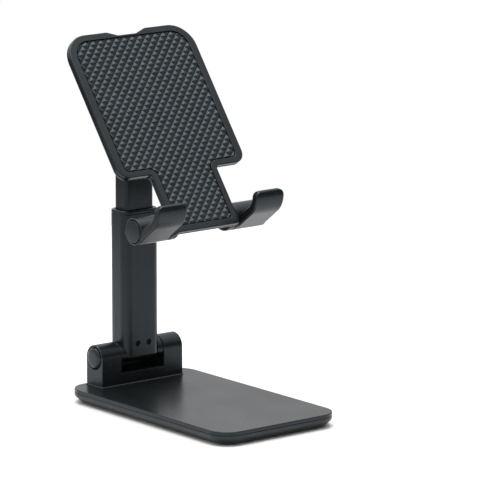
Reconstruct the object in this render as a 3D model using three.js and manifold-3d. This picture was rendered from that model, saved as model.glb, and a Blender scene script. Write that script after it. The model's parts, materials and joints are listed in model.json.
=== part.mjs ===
// Foldable phone stand: weighted base, folding and telescoping column, tilting cradle, two hooks.
//
// Millimetres, +Z up. The origin is on the table under the middle of the base, +X is to the right
// of someone facing the stand, and -Y is towards them. The column folds forwards over the base.

import * as THREE from 'three';
import { mergeVertices } from 'three/addons/utils/BufferGeometryUtils.js';
import Module from 'manifold-3d';

// ---------------------------------------------------------------------------------------------
// Driving dimensions
// ---------------------------------------------------------------------------------------------

// Base
const BASE_WIDTH = 70.6;
const BASE_LENGTH = 121.4;
const BASE_CORNER = 10.7;
const BASE_TOP = 7;
const COVER_THICKNESS = 1.6;
const COVER_EDGE = 0.5;
const PARTING_GAP = 0.3;
const SKIRT_CHAMFER = 3;
const TRAY_BOTTOM = 0.5;
const TRAY_FLOOR = 1.4;
const TRAY_WALL = 1.8;
const PAD_WIDTH = 60;
const PAD_LENGTH = 110.8;
const PAD_CORNER = 6;
const PAD_HEIGHT = 0.9;
const SCREW_X = 25;
const SCREW_Y = 48;
const WEIGHT_WIDTH = 58;
const WEIGHT_FRONT = -54;
const WEIGHT_REAR = 40;
const WEIGHT_THICKNESS = 2.2;
const WEIGHT_CORNER = 4;

// Lower hinge
const HINGE_Y = 52.2;
const HINGE_Z = BASE_TOP + 13.8;
const BLOCK_WIDTH = 48.7;
const BLOCK_SEAT = 0.15;
const TOWER_RADIUS = 6.36;
const SLOT_HALF = 13;
const SLOT_FLOOR = BASE_TOP + 5.9;
const CAP_RADIUS = 5.3;
const CAP_RECESS_RADIUS = 5.6;
const CAP_RECESS_DEPTH = 1.6;
const CAP_PROUD = 1.1;
const LOWER_BARREL_RADIUS = 6.2;
const LOWER_BARREL_HALF = 12.7;
const LOWER_HUB_RADIUS = 4.4;
const RELIEF_DROP = 1;
const STOP_DEPTH = 1.6;
const STOP_DROP = 1.6;
const BOLT_RADIUS = 2.3;
const BORE_RADIUS = 2.6;
const BOLT_NOTCH_RADIUS = 2.8;
const BOLT_HEAD_RADIUS = 3.8;
const NUT_RADIUS = 3.9;
const LOWER_HEAD_HEIGHT = 2.4;
const COUNTERBORE_RADIUS = 4.2;
const COUNTERBORE_DEPTH = 5.1;
const WASHER_RADIUS = 4.9;
const WASHER_THICKNESS = 0.5;
const WASHER_POCKET = 0.45;

// Column: a rounded rectangular sleeve, and the tube that slides in it
const SLEEVE = { width: 21.2, depth: 13.8, corner: 4.4, wall: 1.2 };
const SLEEVE_BOTTOM = HINGE_Z - RELIEF_DROP;
const SLEEVE_TOP = BASE_TOP + 82.5;
const COLLAR_TOP = BASE_TOP + 84.2;
const COLLAR_TONGUE_BOTTOM = BASE_TOP + 75;
const TUBE = { width: 16.5, depth: 10.4, corner: 2.3, wall: 1.2 };
const TUBE_BOTTOM = BASE_TOP + 70.3;
const TUBE_TOP = BASE_TOP + 131;
const LOWER_PLUG_TOP = BASE_TOP + 22.4;
const GUIDE_BOTTOM = BASE_TOP + 62.8;
const GRUB_X = 3.3;
const GRUB_Z = BASE_TOP + 19.3;
const GRUB_RADIUS = 1.05;
const GRUB_HOLE_RADIUS = 1.35;
const GRUB_LENGTH = 4;
const GRUB_SUNK = 0.4;
const FIT_GAP = 0.3;

// Upper hinge
const UPPER_AXIS_Z = BASE_TOP + 141.2;
const UPPER_BARREL_RADIUS = 6.8;
const UPPER_BARREL_HALF = 14.4;
const UPPER_LUG_INNER = 15.2;
const UPPER_LUG_OUTER = 20;
const UPPER_SEAT = 17.4;
const UPPER_HEAD_HEIGHT = 1.9;
const DOME_ROOT = 20.8;
const DOME_TIP = 26.3;

// Cradle, in its own upright frame: origin on the upper hinge axis, front face towards -Y
const CRADLE_LEAN_DEG = 36.6;
const FRONT_Y = -11.9;
const BACK_Y = -7.9;
const BEZEL_THICKNESS = 2;
const WEB_THICKNESS = 0.7;
const PLATE_TOP = 26.2;
const WING_BOTTOM = -49.8;
const NECK_BOTTOM = -80.6;
const PLATE_HALF = 37.35;
const NECK_HALF = 19.05;
const RIM_SIDE = 4.65;
const RIM_TOP = 3.8;
const RIM_NECK = 3.75;
const RIM_WING = 3.5;
const PAD_CLEARANCE = 0.45;
const PAD_SEAT = 0.1;
const CHANNEL_HALF = 11.8;

// Hooks, about their own axis in the cradle's frame
const HOOK_AXIS_Y = FRONT_Y + 6.5;
const HOOK_AXIS_Z = -74.2;
const HOOK_RADIUS = 6.4;
const HOOK_INNER = 19.4;
const HOOK_OUTER = 37.6;
const TONGUE_INNER = 20.6;
const TONGUE_OUTER = 37.4;
const TONGUE_FLAT = 13.6;
const TONGUE_BEND_RADIUS = 10.9;
const TONGUE_BEND_DEG = 58;
const TONGUE_ROOT_THICKNESS = 4.3;
const LIP_THICKNESS = 3.8;
const LIP_STRAIGHT = 2.2;
const LIP_CORNER = 3;
const TIP_ROUNDING = 1.6;
const HOOK_LUG_ROUND = 15.6;
const HOOK_LUG_DOME = 12.4;
const HOOK_PIN_INNER = 14.1;
const HOOK_PIN_SEAT = 31;
const HOOK_CAP_RADIUS = 5.2;
const HOOK_CAP_DEPTH = 1.2;
const HOOK_CAP_PROUD = 0.5;
const HOOK_PIN_RADIUS = 1.9;
const HOOK_PIN_HEAD_RADIUS = 3.4;
const HOOK_PIN_HEAD_HEIGHT = 2;
const HOOK_BORE_RADIUS = 2.2;

// Facets
const ROUND = 20;
const SMALL_ROUND = 8;

// ---------------------------------------------------------------------------------------------
// Materials
// ---------------------------------------------------------------------------------------------

const plastic = (color, roughness) =>
  new THREE.MeshStandardMaterial({ color, roughness, metalness: 0 });
const SHELL_PLASTIC = plastic(0x2b2f31, 0.5);
const COLUMN_PLASTIC = plastic(0x1f2224, 0.42);
const TRIM_PLASTIC = plastic(0x24282a, 0.45);
const SILICONE = plastic(0x303436, 0.75);
const RUBBER = plastic(0x161718, 0.9);
const STEEL = new THREE.MeshStandardMaterial({ color: 0x8d9094, roughness: 0.35, metalness: 1 });
const BLACK_STEEL = new THREE.MeshStandardMaterial({ color: 0x1b1c1e, roughness: 0.4, metalness: 0.8 });

// ---------------------------------------------------------------------------------------------
// Solids
// ---------------------------------------------------------------------------------------------

const wasm = await Module();
wasm.setup();

const X_AXIS = new THREE.Vector3(1, 0, 0);
const Y_AXIS = new THREE.Vector3(0, 1, 0);
const Z_AXIS = new THREE.Vector3(0, 0, 1);
const SIDES = [
  { side: 'left', sign: -1 },
  { side: 'right', sign: 1 },
];

/** A closed three.js geometry as a solid that can be joined and cut. */
function solid(shape) {
  if (!shape.isBufferGeometry) return shape;
  const bare = shape.clone();
  bare.deleteAttribute('normal');
  bare.deleteAttribute('uv');
  const merged = mergeVertices(bare, 1e-5);
  return new wasm.Manifold(
    new wasm.Mesh({
      numProp: 3,
      vertProperties: new Float32Array(merged.attributes.position.array),
      triVerts: new Uint32Array(merged.index.array),
    }),
  );
}

const join = (first, ...rest) => rest.reduce((sum, next) => sum.add(solid(next)), solid(first));
const cut = (first, ...rest) => rest.reduce((left, next) => left.subtract(solid(next)), solid(first));
const keepWithin = (first, limit) => solid(first).intersect(solid(limit));

/** A named mesh of one solid. */
function piece(name, shape, material) {
  const { numProp, vertProperties, triVerts } = solid(shape).getMesh();
  const positions = new Float32Array((vertProperties.length / numProp) * 3);
  for (let vertex = 0; vertex < positions.length / 3; vertex += 1) {
    for (let axis = 0; axis < 3; axis += 1) {
      positions[vertex * 3 + axis] = vertProperties[vertex * numProp + axis];
    }
  }
  const geometry = new THREE.BufferGeometry();
  geometry.setAttribute('position', new THREE.BufferAttribute(positions, 3));
  geometry.setIndex(new THREE.BufferAttribute(new Uint32Array(triVerts), 1));
  geometry.computeVertexNormals();
  const mesh = new THREE.Mesh(geometry, material);
  mesh.name = name;
  return mesh;
}

function box(x0, x1, y0, y1, z0, z1) {
  const block = new THREE.BoxGeometry(x1 - x0, y1 - y0, z1 - z0);
  return block.translate((x0 + x1) / 2, (y0 + y1) / 2, (z0 + z1) / 2);
}

/** A cylinder along Z, or one turned onto X or Y, between two stations on its axis. */
function rodZ(radius, z0, z1, sides = ROUND) {
  const rod = new THREE.CylinderGeometry(radius, radius, z1 - z0, sides);
  return rod.rotateX(Math.PI / 2).translate(0, 0, (z0 + z1) / 2);
}

function rodX(radius, x0, x1, sides = ROUND) {
  const [low, high] = [Math.min(x0, x1), Math.max(x0, x1)];
  const rod = new THREE.CylinderGeometry(radius, radius, high - low, sides);
  return rod.rotateZ(-Math.PI / 2).translate((low + high) / 2, 0, 0);
}

function rodY(radius, y0, y1, sides = SMALL_ROUND) {
  const rod = new THREE.CylinderGeometry(radius, radius, y1 - y0, sides);
  return rod.translate(0, (y0 + y1) / 2, 0);
}

/** A rounded polygon: each corner is [x, y, radius]. */
function roundedShape(corners) {
  const shape = new THREE.Shape();
  const count = corners.length;
  corners.forEach(([x, y, radius], index) => {
    const here = new THREE.Vector2(x, y);
    const [px, py] = corners[(index + count - 1) % count];
    const [nx, ny] = corners[(index + 1) % count];
    const toPrevious = new THREE.Vector2(px, py).sub(here).normalize();
    const toNext = new THREE.Vector2(nx, ny).sub(here).normalize();
    const half = Math.acos(THREE.MathUtils.clamp(toPrevious.dot(toNext), -1, 1)) / 2;
    const reach = radius / Math.tan(half);
    const start = here.clone().addScaledVector(toPrevious, reach);
    const end = here.clone().addScaledVector(toNext, reach);
    if (index === 0) shape.moveTo(start.x, start.y);
    else shape.lineTo(start.x, start.y);
    if (radius > 0) {
      const middle = toPrevious.clone().add(toNext).normalize();
      const centre = here.clone().addScaledVector(middle, radius / Math.sin(half));
      const clockwise = toPrevious.cross(toNext) > 0;
      const startAngle = Math.atan2(start.y - centre.y, start.x - centre.x);
      const endAngle = Math.atan2(end.y - centre.y, end.x - centre.x);
      shape.absarc(centre.x, centre.y, radius, startAngle, endAngle, clockwise);
    }
  });
  shape.closePath();
  return shape;
}

function roundedRectangle(width, depth, radius) {
  const [x, y] = [width / 2, depth / 2];
  return roundedShape([
    [-x, -y, radius],
    [x, -y, radius],
    [x, y, radius],
    [-x, y, radius],
  ]);
}

/** Extrudes an outline drawn in X and Y from z0 up to z1. */
function prismZ(shape, z0, z1, curveSegments = 4) {
  const prism = new THREE.ExtrudeGeometry(shape, { depth: z1 - z0, bevelEnabled: false, curveSegments });
  return prism.translate(0, 0, z0);
}

/** The same with a straight bevel round both ends, inside z0 and z1. */
function bevelledPrismZ(shape, z0, z1, bevel, curveSegments = 4) {
  const prism = new THREE.ExtrudeGeometry(shape, {
    depth: z1 - z0 - 2 * bevel,
    bevelEnabled: true,
    bevelThickness: bevel,
    bevelSize: bevel,
    bevelOffset: -bevel,
    bevelSegments: 1,
    curveSegments,
  });
  return prism.translate(0, 0, z0 + bevel);
}

/** Extrudes an outline drawn in Y and Z from x0 to x1. */
function prismX(shape, x0, x1, curveSegments = 4) {
  const prism = prismZ(shape, Math.min(x0, x1), Math.max(x0, x1), curveSegments);
  return prism.applyMatrix4(new THREE.Matrix4().makeBasis(Y_AXIS, Z_AXIS, X_AXIS));
}

/** Extrudes an outline drawn in X and Z between y0, the front, and y1. */
function prismY(shape, y0, y1, curveSegments = 4) {
  const prism = prismZ(shape, -y1, -y0, curveSegments);
  const towardsFront = Y_AXIS.clone().negate();
  return prism.applyMatrix4(new THREE.Matrix4().makeBasis(X_AXIS, Z_AXIS, towardsFront));
}

/** A dome on the X axis, from a flat round face at `from` to its tip at `to`. */
function domeX(radius, from, to, rings = 4) {
  const length = Math.abs(to - from);
  const profile = [new THREE.Vector2(0, 0)];
  for (let ring = 0; ring <= rings; ring += 1) {
    const angle = (ring / rings) * (Math.PI / 2);
    const isTip = ring === rings;
    profile.push(new THREE.Vector2(isTip ? 0 : radius * Math.cos(angle), length * Math.sin(angle)));
  }
  const dome = new THREE.LatheGeometry(profile, ROUND);
  dome.rotateZ(to > from ? -Math.PI / 2 : Math.PI / 2);
  return dome.translate(from, 0, 0);
}

/** A flat ring on the X axis. */
const washerX = (outer, inner, x0, x1) => cut(rodX(outer, x0, x1), rodX(inner, x0 - 1, x1 + 1));

// ---------------------------------------------------------------------------------------------
// Base
// ---------------------------------------------------------------------------------------------

const BOSS_RADIUS = 3.2;
const POST_RADIUS = 4.2;
const POST_TOP = 4;
const SCREW_HOLE_RADIUS = 1.5;
const SCREW_RADIUS = 1.15;
const SCREW_HEAD_RADIUS = 2.1;
const SCREW_HEAD_BOTTOM = 1.5;
const SCREW_HEAD_TOP = 2.7;
const BLOCK_SCREW_X = 18;
const BLOCK_SCREW_RADIUS = 1.3;
const BLOCK_SCREW_HOLE_RADIUS = 1.6;
const BLOCK_SCREW_HEAD_RADIUS = 2.4;
const BLOCK_SCREW_HEAD_HEIGHT = 1.6;
const BLOCK_SCREW_TOP = 12;
const CORNERS = [
  { corner: 'front_left', x: -SCREW_X, y: -SCREW_Y },
  { corner: 'front_right', x: SCREW_X, y: -SCREW_Y },
  { corner: 'rear_left', x: -SCREW_X, y: SCREW_Y },
  { corner: 'rear_right', x: SCREW_X, y: SCREW_Y },
];
const COVER_BOTTOM = BASE_TOP - COVER_THICKNESS;
const baseOutline = roundedRectangle(BASE_WIDTH, BASE_LENGTH, BASE_CORNER);

/** The slice of the base's space between two heights. */
const baseSlice = (z0, z1) => box(-BASE_WIDTH, BASE_WIDTH, -BASE_LENGTH, BASE_LENGTH, z0, z1);

/** The same upright rod at each corner screw. */
const atCorners = (radius, z0, z1, sides = ROUND, corners = CORNERS) =>
  corners.map(({ x, y }) => rodZ(radius, z0, z1, sides).translate(x, y, 0));

function baseCover() {
  const rolled = bevelledPrismZ(baseOutline, COVER_BOTTOM - 1, BASE_TOP, COVER_EDGE);
  const plate = keepWithin(rolled, baseSlice(COVER_BOTTOM, BASE_TOP + 1));
  const bosses = atCorners(BOSS_RADIUS, POST_TOP + PARTING_GAP, BASE_TOP - 1);
  const pilots = atCorners(SCREW_HOLE_RADIUS, 0, BASE_TOP - 0.8, SMALL_ROUND);
  const blockHoles = SIDES.map(({ sign }) =>
    rodZ(BLOCK_SCREW_HOLE_RADIUS, 0, BASE_TOP + 1, SMALL_ROUND).translate(sign * BLOCK_SCREW_X, HINGE_Y, 0),
  );
  return piece('base_cover', cut(join(plate, ...bosses), ...pilots, ...blockHoles), SHELL_PLASTIC);
}

function baseTray() {
  const top = COVER_BOTTOM - PARTING_GAP;
  const floor = TRAY_BOTTOM + TRAY_FLOOR;
  const chamfered = bevelledPrismZ(baseOutline, TRAY_BOTTOM, top + SKIRT_CHAMFER, SKIRT_CHAMFER);
  const room = (inset, z0, z1) => {
    const outline = roundedRectangle(BASE_WIDTH - 2 * inset, BASE_LENGTH - 2 * inset, BASE_CORNER - inset);
    return prismZ(outline, z0, z1);
  };
  const upperRoom = room(TRAY_WALL, floor + SKIRT_CHAMFER / 2, top + 1);
  const lowerRoom = room(TRAY_WALL + SKIRT_CHAMFER / 2, floor, floor + SKIRT_CHAMFER / 2 + 0.5);
  const shell = cut(keepWithin(chamfered, baseSlice(0, top)), upperRoom, lowerRoom);
  const posts = atCorners(POST_RADIUS, floor - 0.2, POST_TOP);
  const padRoom = prismZ(
    roundedRectangle(PAD_WIDTH + 2 * FIT_GAP, PAD_LENGTH + 2 * FIT_GAP, PAD_CORNER + FIT_GAP),
    0,
    PAD_HEIGHT + FIT_GAP,
  );
  const headRooms = atCorners(SCREW_HEAD_RADIUS + FIT_GAP, 0, SCREW_HEAD_TOP + FIT_GAP, SMALL_ROUND);
  const holes = atCorners(SCREW_HOLE_RADIUS, 0, POST_TOP + 2, SMALL_ROUND);
  return piece('base_tray', cut(join(shell, ...posts), padRoom, ...headRooms, ...holes), SHELL_PLASTIC);
}

function counterweight() {
  const length = WEIGHT_REAR - WEIGHT_FRONT;
  const outline = roundedRectangle(WEIGHT_WIDTH, length, WEIGHT_CORNER);
  const bottom = TRAY_BOTTOM + TRAY_FLOOR + FIT_GAP;
  const top = bottom + WEIGHT_THICKNESS;
  const plate = prismZ(outline, bottom, top).translate(0, (WEIGHT_REAR + WEIGHT_FRONT) / 2, 0);
  const frontCorners = CORNERS.filter(({ y }) => y < 0);
  const postRooms = atCorners(POST_RADIUS + 2 * FIT_GAP, 0, top + 1, ROUND, frontCorners);
  return piece('counterweight', cut(plate, ...postRooms), STEEL);
}

/** A pan-head screw pointing up, with a cross recess in its head. */
function screwZ(headRadius, headBottom, headTop, radius, tip) {
  const recess = headRadius * 0.55;
  const head = rodZ(headRadius, headBottom, headTop, SMALL_ROUND);
  const shank = rodZ(radius, headTop - 0.1, tip, SMALL_ROUND);
  const slots = [
    [recess, 0.25],
    [0.25, recess],
  ].map(([x, y]) => box(-x, x, -y, y, headBottom - 1, headBottom + 0.6));
  return cut(join(head, shank), ...slots);
}

function base() {
  const group = new THREE.Group();
  const pad = prismZ(roundedRectangle(PAD_WIDTH, PAD_LENGTH, PAD_CORNER), 0, PAD_HEIGHT);
  group.add(baseCover(), baseTray(), counterweight(), piece('base_pad', pad, RUBBER));
  CORNERS.forEach(({ corner, x, y }) => {
    const tip = COVER_BOTTOM + 0.5;
    const shape = screwZ(SCREW_HEAD_RADIUS, SCREW_HEAD_BOTTOM, SCREW_HEAD_TOP, SCREW_RADIUS, tip);
    const screw = piece(`base_screw_${corner}`, shape, BLACK_STEEL);
    screw.position.set(x, y, 0);
    group.add(screw);
  });
  SIDES.forEach(({ side, sign }) => {
    const headTop = COVER_BOTTOM - FIT_GAP;
    const headBottom = headTop - BLOCK_SCREW_HEAD_HEIGHT;
    const shape = screwZ(BLOCK_SCREW_HEAD_RADIUS, headBottom, headTop, BLOCK_SCREW_RADIUS, BLOCK_SCREW_TOP);
    const screw = piece(`block_screw_${side}`, shape, BLACK_STEEL);
    screw.position.set(sign * BLOCK_SCREW_X, HINGE_Y, 0);
    group.add(screw);
  });
  return group;
}

// ---------------------------------------------------------------------------------------------
// Lower hinge: its fixed half
// ---------------------------------------------------------------------------------------------

function hingeBlock() {
  const foot = BASE_TOP + BLOCK_SEAT - HINGE_Z;
  const profile = new THREE.Shape();
  profile.moveTo(-TOWER_RADIUS, foot);
  profile.lineTo(TOWER_RADIUS, foot);
  profile.lineTo(TOWER_RADIUS, 0);
  profile.absarc(0, 0, TOWER_RADIUS, 0, Math.PI, false);
  profile.closePath();
  const half = BLOCK_WIDTH / 2;
  const slotFloor = SLOT_FLOOR - HINGE_Z;
  // A low wall is left standing at the back of the slot. It stops the column from going over backwards.
  const stopFront = TOWER_RADIUS - STOP_DEPTH;
  const slot = join(
    box(-SLOT_HALF, SLOT_HALF, -20, stopFront, slotFloor, 20),
    box(-SLOT_HALF, SLOT_HALF, -20, 20, -STOP_DROP, 20),
  );
  const screwHoleTop = BLOCK_SCREW_TOP + 0.5 - HINGE_Z;
  const screwHole = rodZ(BLOCK_SCREW_HOLE_RADIUS, foot - 1, screwHoleTop, SMALL_ROUND);
  const recesses = SIDES.flatMap(({ sign }) => [
    rodX(CAP_RECESS_RADIUS, sign * (half - CAP_RECESS_DEPTH), sign * (half + 1)),
    rodX(COUNTERBORE_RADIUS, sign * (half - COUNTERBORE_DEPTH), sign * (half + 1)),
    screwHole.clone().translate(sign * BLOCK_SCREW_X, 0, 0),
  ]);
  const bore = rodX(BORE_RADIUS, -half - 1, half + 1);
  return piece('hinge_block', cut(prismX(profile, -half, half, 6), slot, bore, ...recesses), SHELL_PLASTIC);
}

/** A hexagonal nut on the X axis, and the bolt that goes with it, headed on the left. */
const nutX = (x0, x1) => cut(rodX(NUT_RADIUS, x0, x1, 6), rodX(BORE_RADIUS, x0 - 1, x1 + 1, SMALL_ROUND));
const hingeBolt = (seat, headHeight) =>
  join(
    rodX(BOLT_HEAD_RADIUS, -seat - headHeight, -seat),
    rodX(BOLT_RADIUS, -seat - 0.1, seat + headHeight - 0.1),
  );

function lowerHinge() {
  const group = new THREE.Group();
  group.position.set(0, HINGE_Y, HINGE_Z);
  const half = BLOCK_WIDTH / 2;
  const seat = half - COUNTERBORE_DEPTH + FIT_GAP;
  group.add(
    hingeBlock(),
    piece('lower_hinge_bolt', hingeBolt(seat, LOWER_HEAD_HEIGHT), STEEL),
    piece('lower_hinge_nut', nutX(seat, seat + LOWER_HEAD_HEIGHT), STEEL),
  );
  SIDES.forEach(({ side, sign }) => {
    const inner = sign * (half - CAP_RECESS_DEPTH + FIT_GAP);
    const rim = sign * (half + CAP_PROUD - 0.5);
    const crown = domeX(CAP_RADIUS, rim - sign * 0.01, sign * (half + CAP_PROUD), 3);
    const cap = join(rodX(CAP_RADIUS, inner, rim), crown);
    const washerSeat = LOWER_BARREL_HALF - WASHER_POCKET + 0.12;
    const from = sign > 0 ? washerSeat : -washerSeat - WASHER_THICKNESS;
    const washer = washerX(WASHER_RADIUS, BORE_RADIUS, from, from + WASHER_THICKNESS);
    group.add(piece(`lower_cap_${side}`, cap, TRIM_PLASTIC), piece(`lower_washer_${side}`, washer, STEEL));
  });
  return group;
}

// ---------------------------------------------------------------------------------------------
// Column
// ---------------------------------------------------------------------------------------------

/** The outline of a tube, grown (or shrunk) all round. */
function tubeOutline({ width, depth, corner }, grow = 0) {
  return roundedRectangle(width + 2 * grow, depth + 2 * grow, Math.max(corner + grow, 0.4));
}

/** A small headless screw along Y, with a cross recess in the end that faces `facing`. */
function grubScrew(name, facing) {
  const recess = GRUB_RADIUS * 0.6;
  const outer = facing * GRUB_LENGTH / 2;
  const [low, high] = [Math.min(outer, outer - facing * 0.6), Math.max(outer, outer - facing * 0.6)];
  const slots = [box(-recess, recess, low, high, -0.2, 0.2), box(-0.2, 0.2, low, high, -recess, recess)];
  return piece(name, cut(rodY(GRUB_RADIUS, -GRUB_LENGTH / 2, GRUB_LENGTH / 2), ...slots), BLACK_STEEL);
}

function lowerKnuckle() {
  const pocketFloor = LOWER_BARREL_HALF - WASHER_POCKET;
  const washerPockets = SIDES.map(({ sign }) =>
    rodX(WASHER_RADIUS + FIT_GAP, sign * pocketFloor, sign * (LOWER_BARREL_HALF + 1)),
  );
  // The lower half of the barrel is relieved down to a hub round the bolt, clear of the block's stop.
  const relief = cut(box(-20, 20, -20, 20, -20, -RELIEF_DROP), rodX(LOWER_HUB_RADIUS, -30, 30));
  const round = rodX(LOWER_BARREL_RADIUS, -LOWER_BARREL_HALF, LOWER_BARREL_HALF);
  const barrel = cut(round, relief, ...washerPockets);
  const plugTop = LOWER_PLUG_TOP - HINGE_Z;
  const plugGrow = -SLEEVE.wall - FIT_GAP;
  const plug = prismZ(tubeOutline(SLEEVE, plugGrow), 0, plugTop);
  const sleeveFoot = SLEEVE_BOTTOM - HINGE_Z - FIT_GAP;
  const sleeveRoom = cut(
    prismZ(tubeOutline(SLEEVE, FIT_GAP), sleeveFoot, plugTop + 1),
    prismZ(tubeOutline(SLEEVE, plugGrow), sleeveFoot - 1, plugTop + 2),
  );
  const bore = rodX(BORE_RADIUS, -20, 20);
  const grubHoles = SIDES.map(({ sign }) =>
    rodY(GRUB_HOLE_RADIUS, -10, -1).translate(sign * GRUB_X, 0, GRUB_Z - HINGE_Z),
  );
  const knuckle = cut(join(cut(barrel, sleeveRoom), plug), bore, ...grubHoles);
  return piece('lower_knuckle', knuckle, COLUMN_PLASTIC);
}

function lowerColumn() {
  const group = new THREE.Group();
  group.position.set(0, HINGE_Y, HINGE_Z);
  group.add(lowerKnuckle());

  const bottom = SLEEVE_BOTTOM - HINGE_Z;
  const top = SLEEVE_TOP - HINGE_Z;
  const inside = prismZ(tubeOutline(SLEEVE, -SLEEVE.wall), bottom - 1, top + 1);
  const holes = SIDES.map(({ sign }) =>
    rodY(GRUB_HOLE_RADIUS, -10, -4).translate(sign * GRUB_X, 0, GRUB_Z - HINGE_Z),
  );
  const boltNotch = rodX(BOLT_NOTCH_RADIUS, -20, 20);
  const sleeve = cut(prismZ(tubeOutline(SLEEVE), bottom, top), inside, boltNotch, ...holes);
  group.add(piece('outer_tube', sleeve, COLUMN_PLASTIC));

  SIDES.forEach(({ side, sign }) => {
    const screw = grubScrew(`column_screw_${side}`, -1);
    const sunkY = -SLEEVE.depth / 2 + GRUB_SUNK + GRUB_LENGTH / 2;
    screw.position.set(sign * GRUB_X, sunkY, GRUB_Z - HINGE_Z);
    group.add(screw);
  });

  const collarBottom = top + 0.15;
  const collarTop = COLLAR_TOP - HINGE_Z;
  const mouth = prismZ(tubeOutline(TUBE, FIT_GAP), collarBottom - 20, collarTop + 1);
  const ring = cut(prismZ(tubeOutline(SLEEVE), collarBottom, collarTop), mouth);
  const tongues = SIDES.map(({ sign }) => {
    const edges = [sign * (TUBE.width / 2 + FIT_GAP), sign * (SLEEVE.width / 2 - SLEEVE.wall - 0.25)];
    const bottom = COLLAR_TONGUE_BOTTOM - HINGE_Z;
    return box(Math.min(...edges), Math.max(...edges), -2.5, 2.5, bottom, collarTop - 0.5);
  });
  group.add(piece('tube_collar', join(ring, ...tongues), TRIM_PLASTIC));
  return group;
}

const SPRING_WIDTH = 5;
const SPRING_THICKNESS = 0.3;
const POCKET_DEPTH = 1.7;

/** A bowed leaf spring in a pocket of the slide guide's left side. */
function slideSpring(z0, z1) {
  const wallX = SLEEVE.width / 2 - SLEEVE.wall - 0.1;
  const bow = 0.7;
  const middle = (z0 + z1) / 2;
  const leaf = new THREE.Shape();
  leaf.moveTo(-wallX + bow, z0);
  leaf.quadraticCurveTo(-wallX - bow, middle, -wallX + bow, z1);
  leaf.lineTo(-wallX + bow + SPRING_THICKNESS, z1);
  leaf.quadraticCurveTo(-wallX - bow + SPRING_THICKNESS, middle, -wallX + bow + SPRING_THICKNESS, z0);
  leaf.closePath();
  return piece('slide_spring', prismY(leaf, -SPRING_WIDTH / 2, SPRING_WIDTH / 2, 5), STEEL);
}

function slideGuide() {
  const flangeTop = TUBE_BOTTOM - FIT_GAP;
  const flange = prismZ(tubeOutline(SLEEVE, -SLEEVE.wall - FIT_GAP), GUIDE_BOTTOM, flangeTop);
  const plug = prismZ(tubeOutline(TUBE, -TUBE.wall - FIT_GAP), flangeTop - 0.1, TUBE_BOTTOM + 9);
  const innerX = SLEEVE.width / 2 - SLEEVE.wall - POCKET_DEPTH;
  const pocketHalf = SPRING_WIDTH / 2 + 0.4;
  const pocket = box(-20, -innerX, -pocketHalf, pocketHalf, GUIDE_BOTTOM + 0.8, flangeTop - 0.8);
  return piece('slide_guide', cut(join(flange, plug), pocket), TRIM_PLASTIC);
}

const HEAD_NECK_BOTTOM = TUBE_TOP + FIT_GAP;
const HEAD_GRUB_Z = TUBE_TOP - 4;

/** The holes at the tube's back for the two screws that hold the head knuckle. */
const headGrubHoles = (fromY) =>
  SIDES.map(({ sign }) => rodY(GRUB_HOLE_RADIUS, fromY, 10).translate(sign * GRUB_X, 0, HEAD_GRUB_Z));

function headKnuckle() {
  const round = rodX(UPPER_BARREL_RADIUS, -UPPER_BARREL_HALF, UPPER_BARREL_HALF);
  const barrel = round.translate(0, 0, UPPER_AXIS_Z);
  const neck = prismZ(tubeOutline(TUBE), HEAD_NECK_BOTTOM, UPPER_AXIS_Z);
  const plug = prismZ(tubeOutline(TUBE, -TUBE.wall - FIT_GAP), TUBE_TOP - 9, HEAD_NECK_BOTTOM + 1);
  const bore = rodX(BORE_RADIUS, -20, 20).translate(0, 0, UPPER_AXIS_Z);
  const grubHoles = headGrubHoles(0.5);
  return piece('head_knuckle', cut(join(barrel, neck, plug), bore, ...grubHoles), COLUMN_PLASTIC);
}

function upperColumn() {
  const group = new THREE.Group();
  group.position.set(0, HINGE_Y, 0);
  const inside = prismZ(tubeOutline(TUBE, -TUBE.wall), TUBE_BOTTOM - 1, TUBE_TOP + 1);
  const tube = cut(prismZ(tubeOutline(TUBE), TUBE_BOTTOM, TUBE_TOP), inside, ...headGrubHoles(3));
  group.add(
    piece('inner_tube', tube, COLUMN_PLASTIC),
    slideGuide(),
    slideSpring(GUIDE_BOTTOM + 1.1, TUBE_BOTTOM - FIT_GAP - 1.1),
    headKnuckle(),
  );
  SIDES.forEach(({ side, sign }) => {
    const screw = grubScrew(`head_screw_${side}`, 1);
    screw.position.set(sign * GRUB_X, TUBE.depth / 2 - GRUB_SUNK - GRUB_LENGTH / 2, HEAD_GRUB_Z);
    group.add(screw);
  });
  return group;
}

// ---------------------------------------------------------------------------------------------
// Cradle
// ---------------------------------------------------------------------------------------------

/** The T-shaped outline of the cradle in X and Z, with the thumb notch in its top edge. */
function cradleOutline() {
  const notch = { top: 11.2, bottom: 5.3, depth: 2.2, rounding: 3 };
  const topCorner = 12.5;
  const wingCorner = 6;
  const throat = 2;
  const neckCorner = 1.5;
  const rightSide = [
    [NECK_HALF, NECK_BOTTOM, neckCorner],
    [NECK_HALF, WING_BOTTOM, throat],
    [PLATE_HALF, WING_BOTTOM, wingCorner],
    [PLATE_HALF, PLATE_TOP, topCorner],
    [notch.top, PLATE_TOP, notch.rounding],
    [notch.bottom, PLATE_TOP - notch.depth, notch.rounding],
  ];
  const leftSide = rightSide.map(([x, z, radius]) => [-x, z, radius]).reverse();
  return roundedShape([...rightSide, ...leftSide]);
}

/** The outline of the pad, or of the frame's window when it is grown a little. */
function padOutline(grow = 0) {
  const side = PLATE_HALF - RIM_SIDE + grow;
  const neck = NECK_HALF - RIM_NECK + grow;
  const top = PLATE_TOP - RIM_TOP + grow;
  const wing = WING_BOTTOM + RIM_WING - grow;
  const bottom = NECK_BOTTOM + RIM_NECK - grow;
  const rightSide = [
    [neck, bottom, 1.6],
    [neck, wing, 4.5],
    [side, wing, 3],
    [side, top, 8.5],
  ];
  const leftSide = rightSide.map(([x, z, radius]) => [-x, z, radius]).reverse();
  return roundedShape([...rightSide, ...leftSide]);
}

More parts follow.
